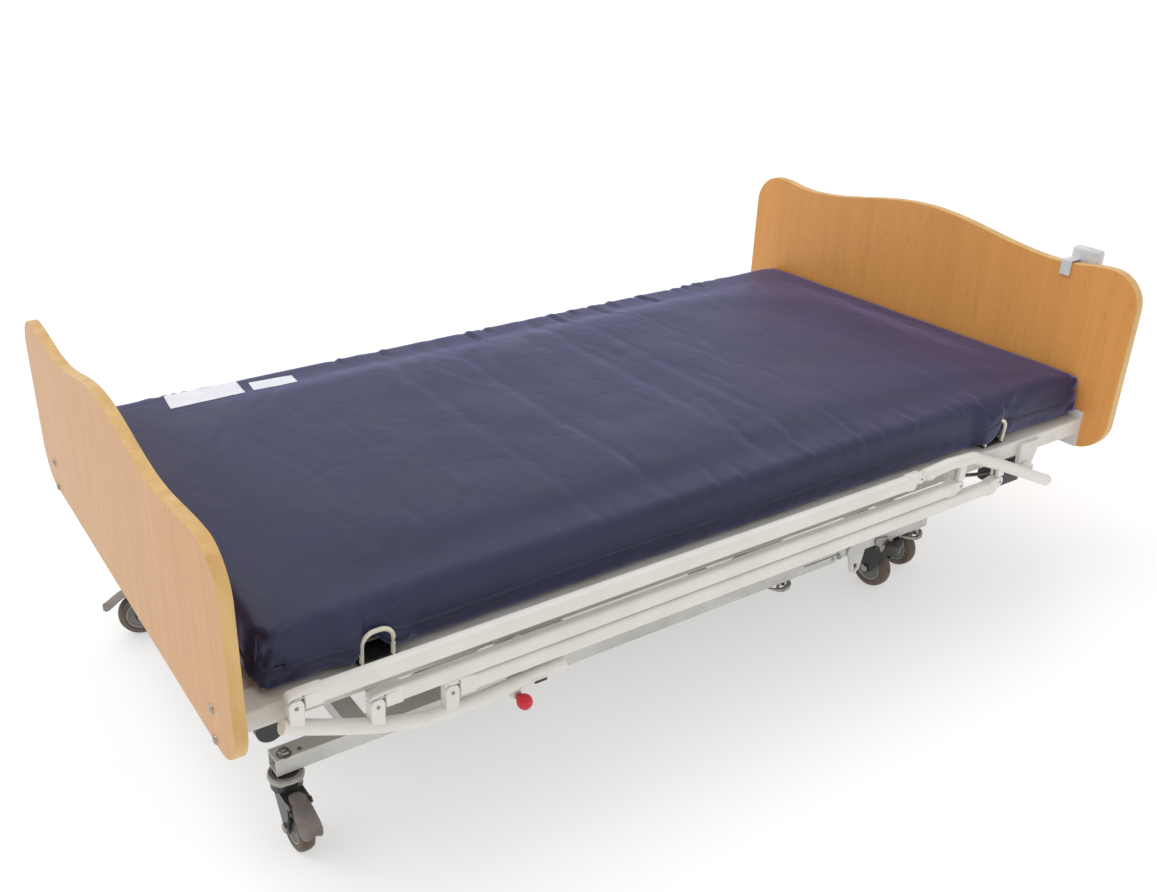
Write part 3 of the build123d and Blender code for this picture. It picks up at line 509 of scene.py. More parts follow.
def repeated(name, tree, size_input, points, headings, size, finish):
    # Copies on points, as one plain mesh.
    mesh = bpy.data.meshes.new(name + "_points")
    mesh.from_pydata([tuple(p) for p in points], [], [])
    attribute = mesh.attributes.new("heading", "FLOAT_VECTOR", "POINT")
    attribute.data.foreach_set("vector", [c for h in headings for c in h])
    holder = bpy.data.objects.new(name, mesh)
    bpy.context.scene.collection.objects.link(holder)
    modifier = holder.modifiers.new("repeat", "NODES")
    modifier.node_group = tree
    modifier[size_input] = size
    bpy.context.view_layer.update()
    graph = bpy.context.evaluated_depsgraph_get()
    plain = bpy.data.meshes.new_from_object(holder.evaluated_get(graph))
    holder.modifiers.clear()
    holder.data = plain
    if not plain.materials:
        plain.materials.append(finish)
    print(name, "copies", len(points), "faces", len(plain.polygons))
    return holder


# %% Bolt heads
dome = turned("dome_pattern", (0, 0, 0), (0, 0, 1),
              [(0, 0), (0, 1.0), (0.10, 1.0), (0.30, 0.86), (0.44, 0.6), (0.52, 0.3), (0.53, 0)], [zinc], steps=20)
dome_tree, dome_size = repeat_tree("domes", zinc, dome)
bolt_low, bolt_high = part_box("board_bolts")
HEAD_R = 0.0085
bolt_rows = (bolt_low[2] + HEAD_R, bolt_high[2] - HEAD_R)
bolt_side = bolt_high[1] - HEAD_R
board_faces = ((foot_low[0], -1), (head_high[0], 1))
bolt_places = [(x, y, z) for x, _ in board_faces for y in (-bolt_side, bolt_side) for z in bolt_rows]
bolt_ways = [(way, 0, 0) for _, way in board_faces for _ in range(4)]
bolt_heads = repeated("board_bolt_heads", dome_tree, dome_size, bolt_places, bolt_ways, HEAD_R, zinc)
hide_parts("board_bolts")
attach(bolt_heads, "upper_frame")

# %% [markdown]
# ## Mattress
# The mattress is one foam block in a loose cover. It starts as a fine grid on a rounded block,
# a short cloth simulation slackens and puckers the cover, and moves in code add what the sim can't
# know: creases across the bed where the sections fold, the lift round each wire retainer and the
# gathered corners. Last it is cut into three closed pieces.

# %% Mattress block
PAD_LOW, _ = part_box("calf_pad")
_, PAD_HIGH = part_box("back_pad")
FOOT_X, HEAD_X = PAD_LOW[0], PAD_HIGH[0] + 0.003
HALF_Y = PAD_HIGH[1] - 0.003
BASE_Z, TOP_Z = 0.4125, PAD_HIGH[2] - 0.004
SEAM_Z = 0.452
EDGE_R = 0.024
GRID = 0.0105


def grid_block(counts, low, high):
    # The skin of a box as a grid of quads, with shared vertices.
    index = {}
    spots = []

    def corner(i, j, k):
        key = (i, j, k)
        if key not in index:
            index[key] = len(spots)
            spots.append([low[a] + (high[a] - low[a]) * key[a] / counts[a] for a in range(3)])
        return index[key]

    faces = []
    nx, ny, nz = counts
    for i in range(nx):
        for j in range(ny):
            faces.append((corner(i, j, 0), corner(i, j + 1, 0), corner(i + 1, j + 1, 0), corner(i + 1, j, 0)))
            faces.append((corner(i, j, nz), corner(i + 1, j, nz), corner(i + 1, j + 1, nz), corner(i, j + 1, nz)))
    for i in range(nx):
        for k in range(nz):
            faces.append((corner(i, 0, k), corner(i + 1, 0, k), corner(i + 1, 0, k + 1), corner(i, 0, k + 1)))
            faces.append((corner(i, ny, k), corner(i, ny, k + 1), corner(i + 1, ny, k + 1), corner(i + 1, ny, k)))
    for j in range(ny):
        for k in range(nz):
            faces.append((corner(0, j, k), corner(0, j, k + 1), corner(0, j + 1, k + 1), corner(0, j + 1, k)))
            faces.append((corner(nx, j, k), corner(nx, j + 1, k), corner(nx, j + 1, k + 1), corner(nx, j, k + 1)))
    return np.array(spots), faces


block_low = np.array([FOOT_X, -HALF_Y, BASE_Z])
block_high = np.array([HEAD_X, HALF_Y, TOP_Z])
block_counts = [max(2, round(float(s) / GRID)) for s in block_high - block_low]
block_spots, block_faces = grid_block(block_counts, block_low, block_high)
inner_low = block_low + EDGE_R
inner_high = block_high - EDGE_R
core = np.clip(block_spots, inner_low, inner_high)
reach = block_spots - core
span = np.linalg.norm(reach, axis=1, keepdims=True)
block_spots = core + reach / np.maximum(span, 1e-9) * EDGE_R
print("mattress grid", block_counts, "points", len(block_spots))


# %% [markdown]
# The simulation runs with gravity off, a little pressure and cloth that is slightly too big for
# the block. The extra cloth buckles into soft folds. How far any point may move is capped, so the
# foam keeps its size, and points near the deck hardly move because the mattress lies on them.

# %% Cover simulation
SIM_FRAMES = 20


def slacken(spots, faces):
    mesh = bpy.data.meshes.new("cover_sim")
    start = spots.copy()
    for number, spot in enumerate(spots):
        start[number] += 0.0012 * np.array(noise.noise_vector(Vector(spot * 21.0)))
    mesh.from_pydata(start.tolist(), [], faces)
    cover = link_mesh("cover_sim", mesh)
    bpy.context.view_layer.objects.active = cover
    cloth = cover.modifiers.new("cloth", "CLOTH")
    cloth.settings.quality = 4
    cloth.settings.mass = 0.25
    cloth.settings.tension_stiffness = 12
    cloth.settings.compression_stiffness = 12
    cloth.settings.shear_stiffness = 4
    cloth.settings.bending_stiffness = 0.25
    cloth.settings.use_pressure = True
    cloth.settings.uniform_pressure_force = 1.2
    cloth.settings.shrink_min = -0.022
    cloth.settings.effector_weights.gravity = 0
    scene = bpy.context.scene
    for step in range(1, SIM_FRAMES + 1):
        scene.frame_set(step)
    graph = bpy.context.evaluated_depsgraph_get()
    settled = cover.evaluated_get(graph).to_mesh()
    moved = np.empty(len(spots) * 3)
    settled.vertices.foreach_get("co", moved)
    scene.frame_set(1)
    bpy.data.objects.remove(cover)
    return moved.reshape(-1, 3) - spots


CAP = 0.011
puffed = slacken(block_spots, block_faces)
middle = np.median(puffed[block_spots[:, 2] > TOP_Z - 0.002], axis=0)
puffed[:, 2] -= middle[2] * (block_spots[:, 2] - BASE_Z) / (TOP_Z - BASE_Z)
length = np.linalg.norm(puffed, axis=1, keepdims=True)
puffed *= np.tanh(length / CAP) * CAP / np.maximum(length, 1e-9)
height_share = np.clip((block_spots[:, 2] - BASE_Z) / 0.03, 0, 1)
puffed *= (0.12 + 0.88 * height_share)[:, None]
cover_spots = block_spots + puffed
print("cover moved at most", float(np.abs(puffed).max()))


# %% [markdown]
# Creases are narrow valleys with a low ridge beside them. Each is a line on the top that starts at
# the side edge, where the cover is pinched, and dies away towards the middle of the bed.

# %% Creases and folds
def smooth_step(value, low, high):
    share = np.clip((value - low) / (high - low), 0, 1)
    return share * share * (3 - 2 * share)


def press_crease(spots, start, end, depth, width):
    start = np.array(start)
    line = np.array(end) - start
    length = np.linalg.norm(line)
    line = line / length
    offset = spots[:, :2] - start
    along = offset @ line
    across = offset @ np.array([-line[1], line[0]])
    wander = 0.010 * np.sin(along * 31 + start[0] * 17)
    across = across + wander * np.clip(along / length, 0, 1)
    fade = smooth_step(along, -0.03, 0.01) * (1 - smooth_step(along, length * 0.35, length))
    valley = np.exp(-(across / width) ** 2) - 0.55 * np.exp(-((across - 2.0 * width) / (1.3 * width)) ** 2)
    top = smooth_step(spots[:, 2], TOP_Z - 0.05, TOP_Z - 0.01)
    spots[:, 2] -= depth * valley * fade * top


dice = random.Random(7)
edge_creases = [(-0.061, 0.12), (0.001, 0.07), (0.191, 0.20), (0.252, 0.08), (0.324, 0.19), (0.384, 0.09),
                (0.484, 0.13), (0.607, 0.06), (0.645, 0.08), (0.692, 0.07), (-0.42, 0.06), (-0.30, 0.08)]
for x, length in edge_creases:
    lean = dice.uniform(0.1, 0.3)
    for side in (-1, 1):
        press_crease(cover_spots, (x, side * (HALF_Y + 0.004)), (x + lean * length, side * (HALF_Y - length)),
                     dice.uniform(0.0040, 0.0062), 0.0062)
for count in range(26):
    x = dice.uniform(-0.9, 0.95)
    y = dice.uniform(-0.42, 0.42)
    lean = dice.uniform(-0.5, 0.9)
    length = dice.uniform(0.10, 0.32)
    press_crease(cover_spots, (x, y), (x + lean * length, y + length), dice.uniform(0.0008, 0.0020), 0.009)
for x in (-0.165, 0.110, -0.33, 0.22):
    press_crease(cover_spots, (x, -HALF_Y), (x + 0.02, HALF_Y * 3), 0.0012, 0.014)

# %% [markdown]
# Each wire retainer stands outside the mattress and holds its lower edge up and in. The cover
# rises to the wire on both sides, leaving a dark arch below, and thin folds fan out from its top.

# %% Lift round the retainers
def lift_at_hoop(spots, hoop_x, side, arch, over):
    # arch lists (ahead of the hoop's middle, lift) along the lower edge; over lists the span where
    # the side bulges out and hides the wire.
    ahead = spots[:, 0] - hoop_x
    lift = np.interp(ahead, [a for a, _ in arch], [rise for _, rise in arch])
    edge = smooth_step(side * spots[:, 1], 0.40, 0.49)
    low = 1 - smooth_step(spots[:, 2], BASE_Z + 0.01, TOP_Z - 0.015)
    share = lift / max(rise for _, rise in arch)
    spots[:, 2] += lift * edge * low
    inward = 1 - smooth_step(spots[:, 2], SEAM_Z, SEAM_Z + 0.05)
    spots[:, 1] -= side * 0.006 * share * edge * inward
    above = np.exp(-((spots[:, 2] - 0.496) / 0.016) ** 2)
    spots[:, 1] += side * 0.006 * share * edge * above
    angle = np.arctan2(spots[:, 2] - 0.470, ahead)
    distance = np.hypot(spots[:, 2] - 0.470, ahead)
    fan = np.sin(angle * 13 + 0.6) * np.exp(-distance / 0.09) * smooth_step(distance, 0.012, 0.04)
    spots[:, 1] += side * 0.0072 * fan * edge * smooth_step(spots[:, 2], 0.462, 0.478)
    along = smooth_step(ahead, over[0], over[1]) * (1 - smooth_step(ahead, over[2], over[3]))
    bulge_height = smooth_step(spots[:, 2], 0.414, 0.424) * (1 - smooth_step(spots[:, 2], 0.485, 0.520))
    spots[:, 1] += side * 0.016 * along * bulge_height * edge
    ahead_leg = smooth_step(ahead, 0.012, 0.022) * (1 - smooth_step(ahead, 0.045, 0.075))
    low_leg = 1 - smooth_step(spots[:, 2], 0.440, 0.462)
    spots[:, 1] += side * 0.014 * ahead_leg * low_leg * edge


calf_hoop_low, calf_hoop_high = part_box("calf_retainers")
back_hoop_low, back_hoop_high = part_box("back_retainers")
CALF_HOOP_X = (calf_hoop_low[0] + calf_hoop_high[0]) / 2
BACK_HOOP_X = (back_hoop_low[0] + back_hoop_high[0]) / 2
CALF_ARCH = [(-0.052, 0), (-0.040, 0.004), (-0.026, 0.022), (-0.010, 0.030), (0.010, 0.026), (0.024, 0.013),
             (0.050, 0.006), (0.085, 0.002), (0.11, 0)]
BACK_ARCH = [(-0.030, 0), (-0.012, 0.004), (0.004, 0.020), (0.014, 0.024), (0.030, 0.020), (0.051, 0.010),
             (0.075, 0)]
# The block's weight spreads its lower sides, and its foot end slumps a little towards the footboard.
spread = 1 - smooth_step(cover_spots[:, 2], BASE_Z, 0.500)
outside = smooth_step(np.abs(cover_spots[:, 1]), 0.40, HALF_Y)
cover_spots[:, 1] += np.sign(cover_spots[:, 1]) * 0.008 * spread * outside
slump = smooth_step(-cover_spots[:, 0], 0.86, -FOOT_X)
cover_spots[:, 0] -= (0.010 + 0.008 * spread) * slump
for side in (-1, 1):
    lift_at_hoop(cover_spots, CALF_HOOP_X, side, CALF_ARCH, (-0.085, -0.045, -0.033, -0.020))
    lift_at_hoop(cover_spots, BACK_HOOP_X, side, BACK_ARCH, (-0.075, -0.040, 0.008, 0.022))


# %% Gathered corners
def gather_corner(spots, x, y):
    # Upright folds where the cover's corner is taken in, and a corner that dips at the bottom.
    dx = spots[:, 0] - x
    dy = spots[:, 1] - y
    far = np.hypot(dx, dy)
    close = np.exp(-(far / 0.085) ** 2)
    turn = np.arctan2(dy * np.sign(y), dx * np.sign(x))
    side_band = smooth_step(spots[:, 2], BASE_Z, BASE_Z + 0.02) * (1 - smooth_step(spots[:, 2], TOP_Z - 0.02, TOP_Z))
    folds = np.sin(turn * 9 + spots[:, 2] * 55) + 0.6 * np.abs(np.sin(turn * 17 - spots[:, 2] * 90)) - 0.3
    folds = folds * close * side_band
    out = np.stack([np.sign(x) * np.ones(len(spots)), np.sign(y) * np.ones(len(spots))], axis=1) * 0.7071
    spots[:, :2] += out * (0.0085 * folds)[:, None]
    pull = np.exp(-(far / 0.05) ** 2)
    spots[:, 2] -= 0.005 * pull * smooth_step(spots[:, 2], TOP_Z - 0.04, TOP_Z)


for x in (FOOT_X, HEAD_X):
    for y in (-HALF_Y, HALF_Y):
        gather_corner(cover_spots, x, y)
rest_on_deck = (np.abs(cover_spots[:, 1]) < 0.462) & (cover_spots[:, 2] < 0.430)
cover_spots[:, 2] = np.where(rest_on_deck, np.maximum(cover_spots[:, 2], 0.4155), cover_spots[:, 2])
cover_spots[:, 2] = np.maximum(cover_spots[:, 2], 0.4108)
_, footboard_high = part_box("footboard")
cover_spots[:, 0] = np.clip(cover_spots[:, 0], footboard_high[0] + 0.003, HEAD_X + 0.002)
side_limit = np.where(np.abs(cover_spots[:, 0] - CALF_HOOP_X) < 0.017, 0.5030, 0.5175)
side_limit = np.where(cover_spots[:, 2] > 0.474, 0.515, side_limit)
side_limit = np.where(np.abs(cover_spots[:, 0] - BACK_HOOP_X) < 0.10, 0.519, side_limit)
cover_spots[:, 1] = np.clip(cover_spots[:, 1], -side_limit, side_limit)
print("cover spans", cover_spots.min(axis=0), cover_spots.max(axis=0))

# %% [markdown]
# The cuts lie half-way along the fixed seat section and half-way along the thigh section, where
# the mattress never bends, so the pieces stay matched in every pose. Each cut is closed with a
# face and its rim is marked sharp, which keeps the shading of the outer skin even across it.

# %% Mattress pieces
SEAT_CUT = 0.110
THIGH_CUT = -0.165
SKIN = bpy.data.meshes.new("cover_skin")
SKIN.from_pydata(cover_spots.tolist(), [], block_faces)


def cut_to_length(body, low_x, high_x, close_rim):
    # Keeps what lies between two planes; close_rim fills each cut.
    for x, way in ((low_x, -1), (high_x, 1)):
        if x is None:
            continue
        everything = body.verts[:] + body.edges[:] + body.faces[:]
        cut = bmesh.ops.bisect_plane(
            body, geom=everything, plane_co=(x, 0, 0), plane_no=(way, 0, 0), clear_outer=True)
        close_rim(body, [edge for edge in cut["geom_cut"] if isinstance(edge, bmesh.types.BMEdge)])


def close_sharp(body, rim):
    cap = bmesh.ops.edgeloop_fill(body, edges=rim)["faces"]
    for part in rim + cap:
        part.smooth = False


def close_hem(body, rim):
    bmesh.ops.holes_fill(body, edges=rim, sides=0)


def cut_piece(name, low_x, high_x):
    piece = bmesh.new()
    piece.from_mesh(SKIN)
    cut_to_length(piece, low_x, high_x, close_sharp)
    for face in piece.faces:
        # Only the two caps have more corners than this.
        if len(face.verts) < 10:
            face.smooth = True
    made = mesh_piece(name, piece, (cover_cloth,))
    print(name, "faces", len(made.data.polygons))
    return made


LENGTHS = {"calf": (None, THIGH_CUT), "thigh": (THIGH_CUT, SEAT_CUT), "back": (SEAT_CUT, None)}
mattress = {part: cut_piece(f"mattress_{part}", *span) for part, span in LENGTHS.items()}

# %% [markdown]
# ## Cover flap
# The cover's upper half ends in a flap that hangs over the zip, all the way round. A thin hem
# follows the mattress skin at the seam's height: rays find the skin, and the hem stands just
# proud of it. It is made in the same three lengths as the mattress.

# %% Cover flap
skin_tree = BVHTree.FromPolygons([Vector(v) for v in cover_spots], block_faces)


def flap_route():
    # Points round the mattress side, with the way out from each: four straights and four corners.
    spacing = 0.008
    inset = 0.03
    x0, x1, y1 = FOOT_X + inset, HEAD_X - inset, HALF_Y - inset
    corners = [(x0, -y1), (x1, -y1), (x1, y1), (x0, y1)]
    ways = [(0.0, -1.0), (1.0, 0.0), (0.0, 1.0), (-1.0, 0.0)]
    spots = []
    for number, way in enumerate(ways):
        start, end = corners[number], corners[(number + 1) % 4]
        axis = number % 2
        step = math.copysign(spacing, end[axis] - start[axis])
        for place in np.arange(start[axis], end[axis], step):
            spots.append(((start[0], place) if axis else (place, start[1]), way))
        for turn in np.linspace((number - 1) * math.pi / 2, number * math.pi / 2, 8):
            spots.append((end, (math.cos(turn), math.sin(turn))))
    return spots


def hem_height(x, y):
    wave = 0.0035 * noise.noise(Vector((x * 3.1, y * 3.1, 0.4)))
    level = SEAM_Z + wave
    for hoop in (CALF_HOOP_X, BACK_HOOP_X):
        level += 0.017 * max(0.0, 1 - abs(x - hoop) / 0.09) ** 2 * (abs(y) > 0.4)
    return level


def skin_point(spot, way, z):
    outside = Vector((spot[0] + way[0] * 0.08, spot[1] + way[1] * 0.08, z))
    hit = skin_tree.ray_cast(outside, Vector((-way[0], -way[1], 0)))[0]
    return hit if hit else Vector((spot[0] + way[0] * 0.03, spot[1] + way[1] * 0.03, z))


HEM_SECTION = [(0.006, -0.0008), (0.005, 0.0004), (0.001, 0.0013), (0.0, 0.0014), (-0.0006, 0.0008), (0.0, -0.0008)]


def hem_piece(name, low_x, high_x):
    hem = bmesh.new()
    rows = []
    for spot, way in flap_route():
        level = hem_height(*spot)
        row = []
        for up, out in HEM_SECTION:
            at = skin_point(spot, way, level + up)
            row.append(hem.verts.new(at + Vector((way[0], way[1], 0)) * out))
        rows.append(row)
    count = len(HEM_SECTION)
    for first, second in zip(rows, rows[1:] + rows[:1]):
        for k in range(count):
            face = hem.faces.new((first[k], second[k], second[(k + 1) % count], first[(k + 1) % count]))
            face.smooth = True
    cut_to_length(hem, low_x, high_x, close_hem)
    return mesh_piece(name, hem, (cover_edge,))


hems = {part: hem_piece(f"flap_{part}", *span) for part, span in LENGTHS.items()}

# %% [markdown]
# ## Blank patches
# Two pale patches are printed near the foot end of the cover. They are left blank. Each is a thin
# film with its points dropped onto the cover, so that it follows every fold.

# %% Blank patches
def film_patch(name, corners, lift=0.0005, steps=(44, 20)):
    film = bmesh.new()
    rows = []
    a, b, c, d = [Vector(corner) for corner in corners]
    for i in range(steps[0] + 1):
        row = []
        for j in range(steps[1] + 1):
            u, v = i / steps[0], j / steps[1]
            flat = a.lerp(b, u).lerp(d.lerp(c, u), v)
            hit = skin_tree.ray_cast(Vector((flat.x, flat.y, 0.7)), Vector((0, 0, -1)))[0]
            row.append(film.verts.new(hit + Vector((0, 0, lift))))
        rows.append(row)
    for first, second in zip(rows, rows[1:]):
        for k in range(steps[1]):
            film.faces.new((first[k], second[k], second[k + 1], first[k + 1])).smooth = True
    patch = mesh_piece(name, film, (label_film,))
    if patch.data.polygons[0].normal.z < 0:
        patch.data.flip_normals()
    skin = patch.modifiers.new("film", "SOLIDIFY")
    skin.thickness = 0.0004
    skin.offset = 1
    return patch


patches = [
    film_patch("patch_large", ((-0.838, 0.393), (-0.668, 0.393), (-0.660, 0.475), (-0.828, 0.475))),
    film_patch("patch_small", ((-0.648, 0.394), (-0.545, 0.386), (-0.538, 0.440), (-0.640, 0.449)), steps=(26, 14)),
]

# %% [markdown]
# ## Placing the mattress
# On the bed the calf and thigh lengths turn about the knee, the thigh and seat lengths about the thigh hinge,
# and the back length bends between the fixed seat and the backrest. Here the mattress and hem pieces
# stay as cut, the CAD pads they replace are hidden, and the blank patches ride on the calf section.

# %% Place the mattress
bends = {
    "calf": ("thigh_section", "calf_section", -0.255, -0.405),
    "thigh": ("upper_frame", "thigh_section", 0.075, -0.075),
    "back": ("upper_frame", "back_section", 0.125, 0.335),
}
pads = {"calf": ("calf_pad",), "thigh": ("thigh_pad",), "back": ("back_pad", "seat_pad")}
for part, (first, second, start_x, end_x) in bends.items():
    for piece in (mattress[part], hems[part]):
        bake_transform(piece)
    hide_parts(*pads[part])
for patch in patches:
    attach(patch, "calf_section")
print("mattress pieces", sorted(mattress))

# %% [markdown]
# ## Plates, tubes and boxes
# Three more helpers: a prism extrudes an outline along any direction and rounds its rims, a tube
# follows a line of points with a radius at each, and a rounded box is a bevelled cube.

# %% Prism, tube and box helpers
def prism(name, outline, lift, low, high, finish, rim=0.0015):
    # The outline's points (u, v) are lifted to 3-D at two depths and joined.
    solid = bmesh.new()
    rings = [[solid.verts.new(lift(u, v, w)) for u, v in outline] for w in (low, high)]
    ends = [solid.faces.new(rings[0]), solid.faces.new(list(reversed(rings[1])))]
    count = len(outline)
    for k in range(count):
        solid.faces.new((rings[0][k], rings[1][k], rings[1][(k + 1) % count], rings[0][(k + 1) % count]))
    bmesh.ops.recalc_face_normals(solid, faces=solid.faces)
    edges = {edge for face in ends for edge in face.edges}
    if rim:
        bmesh.ops.bevel(solid, geom=list(edges), offset=rim, segments=3, profile=0.5, affect="EDGES")
    for face in solid.faces:
        face.smooth = True
    return mesh_piece(name, solid, (finish,), 35, turn_outward=False)


def side_lift(u, v, w):
    return Vector((u, w, v))


def arc(cx, cz, radius, start, end, steps=12):
    turns = [math.radians(start + (end - start) * k / steps) for k in range(steps + 1)]
    return [(cx + radius * math.cos(t), cz + radius * math.sin(t)) for t in turns]


def tube(name, points, radii, finish, sides=20):
    points = [Vector(p) for p in points]
    solid = bmesh.new()
    rings = []
    across = None
    for number, point in enumerate(points):
        before = points[max(0, number - 1)]
        after = points[min(len(points) - 1, number + 1)]
        way = (after - before).normalized()
        if across is None:
            across = way.orthogonal().normalized()
        across = (across - way * across.dot(way)).normalized()
        other = way.cross(across)
        radius = radii[number] if isinstance(radii, (list, tuple)) else radii
        turns = [2 * math.pi * k / sides for k in range(sides)]
        rings.append([solid.verts.new(point + (across * math.cos(t) + other * math.sin(t)) * radius) for t in turns])
    for first, second in zip(rings, rings[1:]):
        for k in range(sides):
            solid.faces.new((first[k], first[(k + 1) % sides], second[(k + 1) % sides], second[k])).smooth = True
    solid.faces.new(list(reversed(rings[0])))
    solid.faces.new(rings[-1])
    return mesh_piece(name, solid, (finish,), 40)


def rounded_route(corners, radius, steps=8):
    # A line of points through corners, each corner turned with an arc of this radius.
    corners = [Vector(c) for c in corners]
    route = [corners[0]]
    for before, corner, after in zip(corners, corners[1:], corners[2:]):
        way_in = (before - corner).normalized()
        way_out = (after - corner).normalized()
        half = way_in.angle(way_out) / 2
        reach = radius / math.tan(half)
        centre = corner + (way_in + way_out).normalized() * radius / math.sin(half)
        start = corner + way_in * reach
        end = corner + way_out * reach
        for k in range(steps + 1):
            spoke = (start - centre).lerp(end - centre, k / steps).normalized()
            route.append(centre + spoke * radius)
    route.append(corners[-1])
    return route


def rounded_box(name, low, high, radius, finish, segments=3):
    solid = bmesh.new()
    bmesh.ops.create_cube(solid, size=1)
    low, high = Vector(low), Vector(high)
    for vertex in solid.verts:
        vertex.co = Vector(low[a] + (high[a] - low[a]) * (vertex.co[a] + 0.5) for a in range(3))
    bmesh.ops.bevel(solid, geom=solid.edges[:], offset=radius, segments=segments, profile=0.5, affect="EDGES")
    for face in solid.faces:
        face.smooth = True
    return mesh_piece(name, solid, (finish,), 40, turn_outward=False)


# %% [markdown]
# ## Mattress retainers
# Each retainer is a plastic-coated wire hoop on a foot plate, screwed to the lying surface. The plate is black,
# which paints the shade under the cover's lifted edge.

# %% Mattress retainers
PLATE_Y, PLATE_HALF = 0.486, 0.0255
for node, hoop_x, body in (("calf_retainers", CALF_HOOP_X, "calf_section"),
                           ("back_retainers", BACK_HOOP_X, "back_section")):
    low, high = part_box(node)
    wire = 0.0042
    hoop_y = high[1] - 0.005
    half = (high[0] - low[0]) / 2 - 0.006
    parts = []
    for side in (-1, 1):
        lean = side * 0.004
        leg_y, top_y, leg_z, top_z = side * hoop_y, side * hoop_y + lean, low[2] + 0.002, high[2] - wire
        corners = [(hoop_x - half, leg_y, leg_z), (hoop_x - half, top_y, top_z),
                   (hoop_x + half, top_y, top_z), (hoop_x + half, leg_y, leg_z)]
        plate_low = (hoop_x - half - 0.006, side * PLATE_Y - PLATE_HALF, low[2])
        plate_high = (hoop_x + half + 0.006, side * PLATE_Y + PLATE_HALF, low[2] + 0.004)
        parts.append(tube("hoop", rounded_route(corners, 0.024), wire, cream_coat))
        # The black foot plate paints the shade that falls under the arch of the cover.
        parts.append(rounded_box("foot", plate_low, plate_high, 0.001, black_plastic))
    retainers = merged(node + "_dressed", parts)
    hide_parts(node)
    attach(retainers, body)
print("hoops at", CALF_HOOP_X, BACK_HOOP_X)

# %% [markdown]
# ## Side rails
# Each rail is a rounded bar with a moulded fitting at each end. At the foot end a boxy post rises
# from the crank tube into the fitting, under a domed cap; at the head end the post comes down to
# the bar's rounded end. The post turns round its pin, so every edge near it is an arc about the pin.

# %% Rail bars and end fittings
RAIL_Y = 0.560
BAR_HALF_T = 0.011
BAR_HALF_H = 0.0155
FITTING_HALF_T = 0.0113
POST_HALF_T = 0.0104


def bar_section(half_w, half_h, radius, steps=6):
    section = []
    for cx, cz, start in ((1, 1, 0), (-1, 1, 90), (-1, -1, 180), (1, -1, 270)):
        section += arc(cx * (half_w - radius), cz * (half_h - radius), radius, start, start + 90, steps)
    return section


def joint_of(name):
    return next(joint for joint in frame["joints"] if joint["name"] == name)


def pin_of(name):
    return Vector(joint_of(name)["pos_m"])


def screw_head(place, way, radius):
    dome_profile = [(0, 0), (0, radius), (0.0006, radius), (0.0016, radius * 0.8), (0.0020, radius * 0.45),
                    (0.0012, radius * 0.4), (0.0012, 0)]
    return turned("screw", place, way, dome_profile, [zinc], steps=20)


RAIL_LEVELS = (0.431, 0.379, 0.346)
foot_pins = {}
for name, side in SIDES.items():
    y = side * RAIL_Y
    reach = pin_of(f"rail_head_crank_{name}") - pin_of(f"rail_raise_{name}")
    for number, level in enumerate(RAIL_LEVELS, 1):
        node = f"rail_{name}_{number}"
        pin = pin_of(f"{node}_level")
        foot_pins[node] = pin
        head = pin + reach
        top, low = level + BAR_HALF_H, level - BAR_HALF_H
        bar = prism("bar", bar_section(BAR_HALF_T, BAR_HALF_H, 0.0075),
                    lambda u, v, w: Vector((w, y + u, level + v)), pin.x + 0.030, head.x - 0.030, rail_paint, rim=0)
        dome_top = pin.z + 0.0245
        cap_low = pin.z + 0.0143
        slope_x = pin.x + 0.046
        foot_outline = [(slope_x, low - 0.0012), (slope_x, top + 0.0012)]
        foot_outline.append((pin.x + 0.020, max(dome_top, top + 0.0012)))
        foot_outline += arc(pin.x - 0.004, dome_top - 0.010, 0.010, 90, 160, 8)
        foot_outline += [(pin.x - 0.014, cap_low), (pin.x + 0.0149, cap_low), (pin.x + 0.0149, low - 0.0012)]
        sides = (y - FITTING_HALF_T, y + FITTING_HALF_T)
        fitting = prism("fitting", foot_outline, side_lift, *sides, rail_plastic, 0.0040)
        # The top rail's end is cut back underneath, where the raised crank's collar comes to stand.
        end_outline = arc(head.x, head.z, 0.012, -135 if number == 1 else -60, 90, 12)
        end_outline += [(head.x - 0.034, max(top + 0.001, head.z)), (head.x - 0.034, low - 0.001),
                        (head.x - 0.0145, low - 0.001)]
        if number == 1:
            end_outline.append((head.x - 0.0112, head.z - 0.0118))
        end = prism("end", end_outline, side_lift, *sides, rail_plastic, 0.0040)
        cap_screw = (pin.x + 0.012, y + side * (FITTING_HALF_T - 0.0008), cap_low + 0.0052)
        pin_screw = (head.x, y + side * (FITTING_HALF_T - 0.0002), head.z)
        screws = [screw_head(cap_screw, (0, side, 0), 0.0021), screw_head(pin_screw, (0, side, 0), 0.0026)]
        rail = merged(node + "_dressed", [bar, fitting, end] + screws)
        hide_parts(node)
        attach(rail, node)

# %% Posts, tube plugs and the latch clip
FOOT_TUBE = ((-0.991, 0.390), (-0.896, 0.350), (-0.831, 0.325), (-0.742, 0.302), (-0.640, 0.300), (-0.471, 0.311))
HEAD_TUBE = ((0.431, 0.435), (0.508, 0.441), (0.590, 0.436), (0.698, 0.389), (0.876, 0.305))


def tube_level(path, x):
    return float(np.interp(x, [p[0] for p in path], [p[1] for p in path]))


def plug(place, way):
    # A shallow domed plug in the end of a 26 mm tube.
    return turned("plug", place, way, [(-0.004, 0), (-0.004, 0.0128), (0.0006, 0.0134), (0.0022, 0.0126),
                                       (0.0030, 0.0095), (0.0031, 0)], [rail_plastic], steps=36)


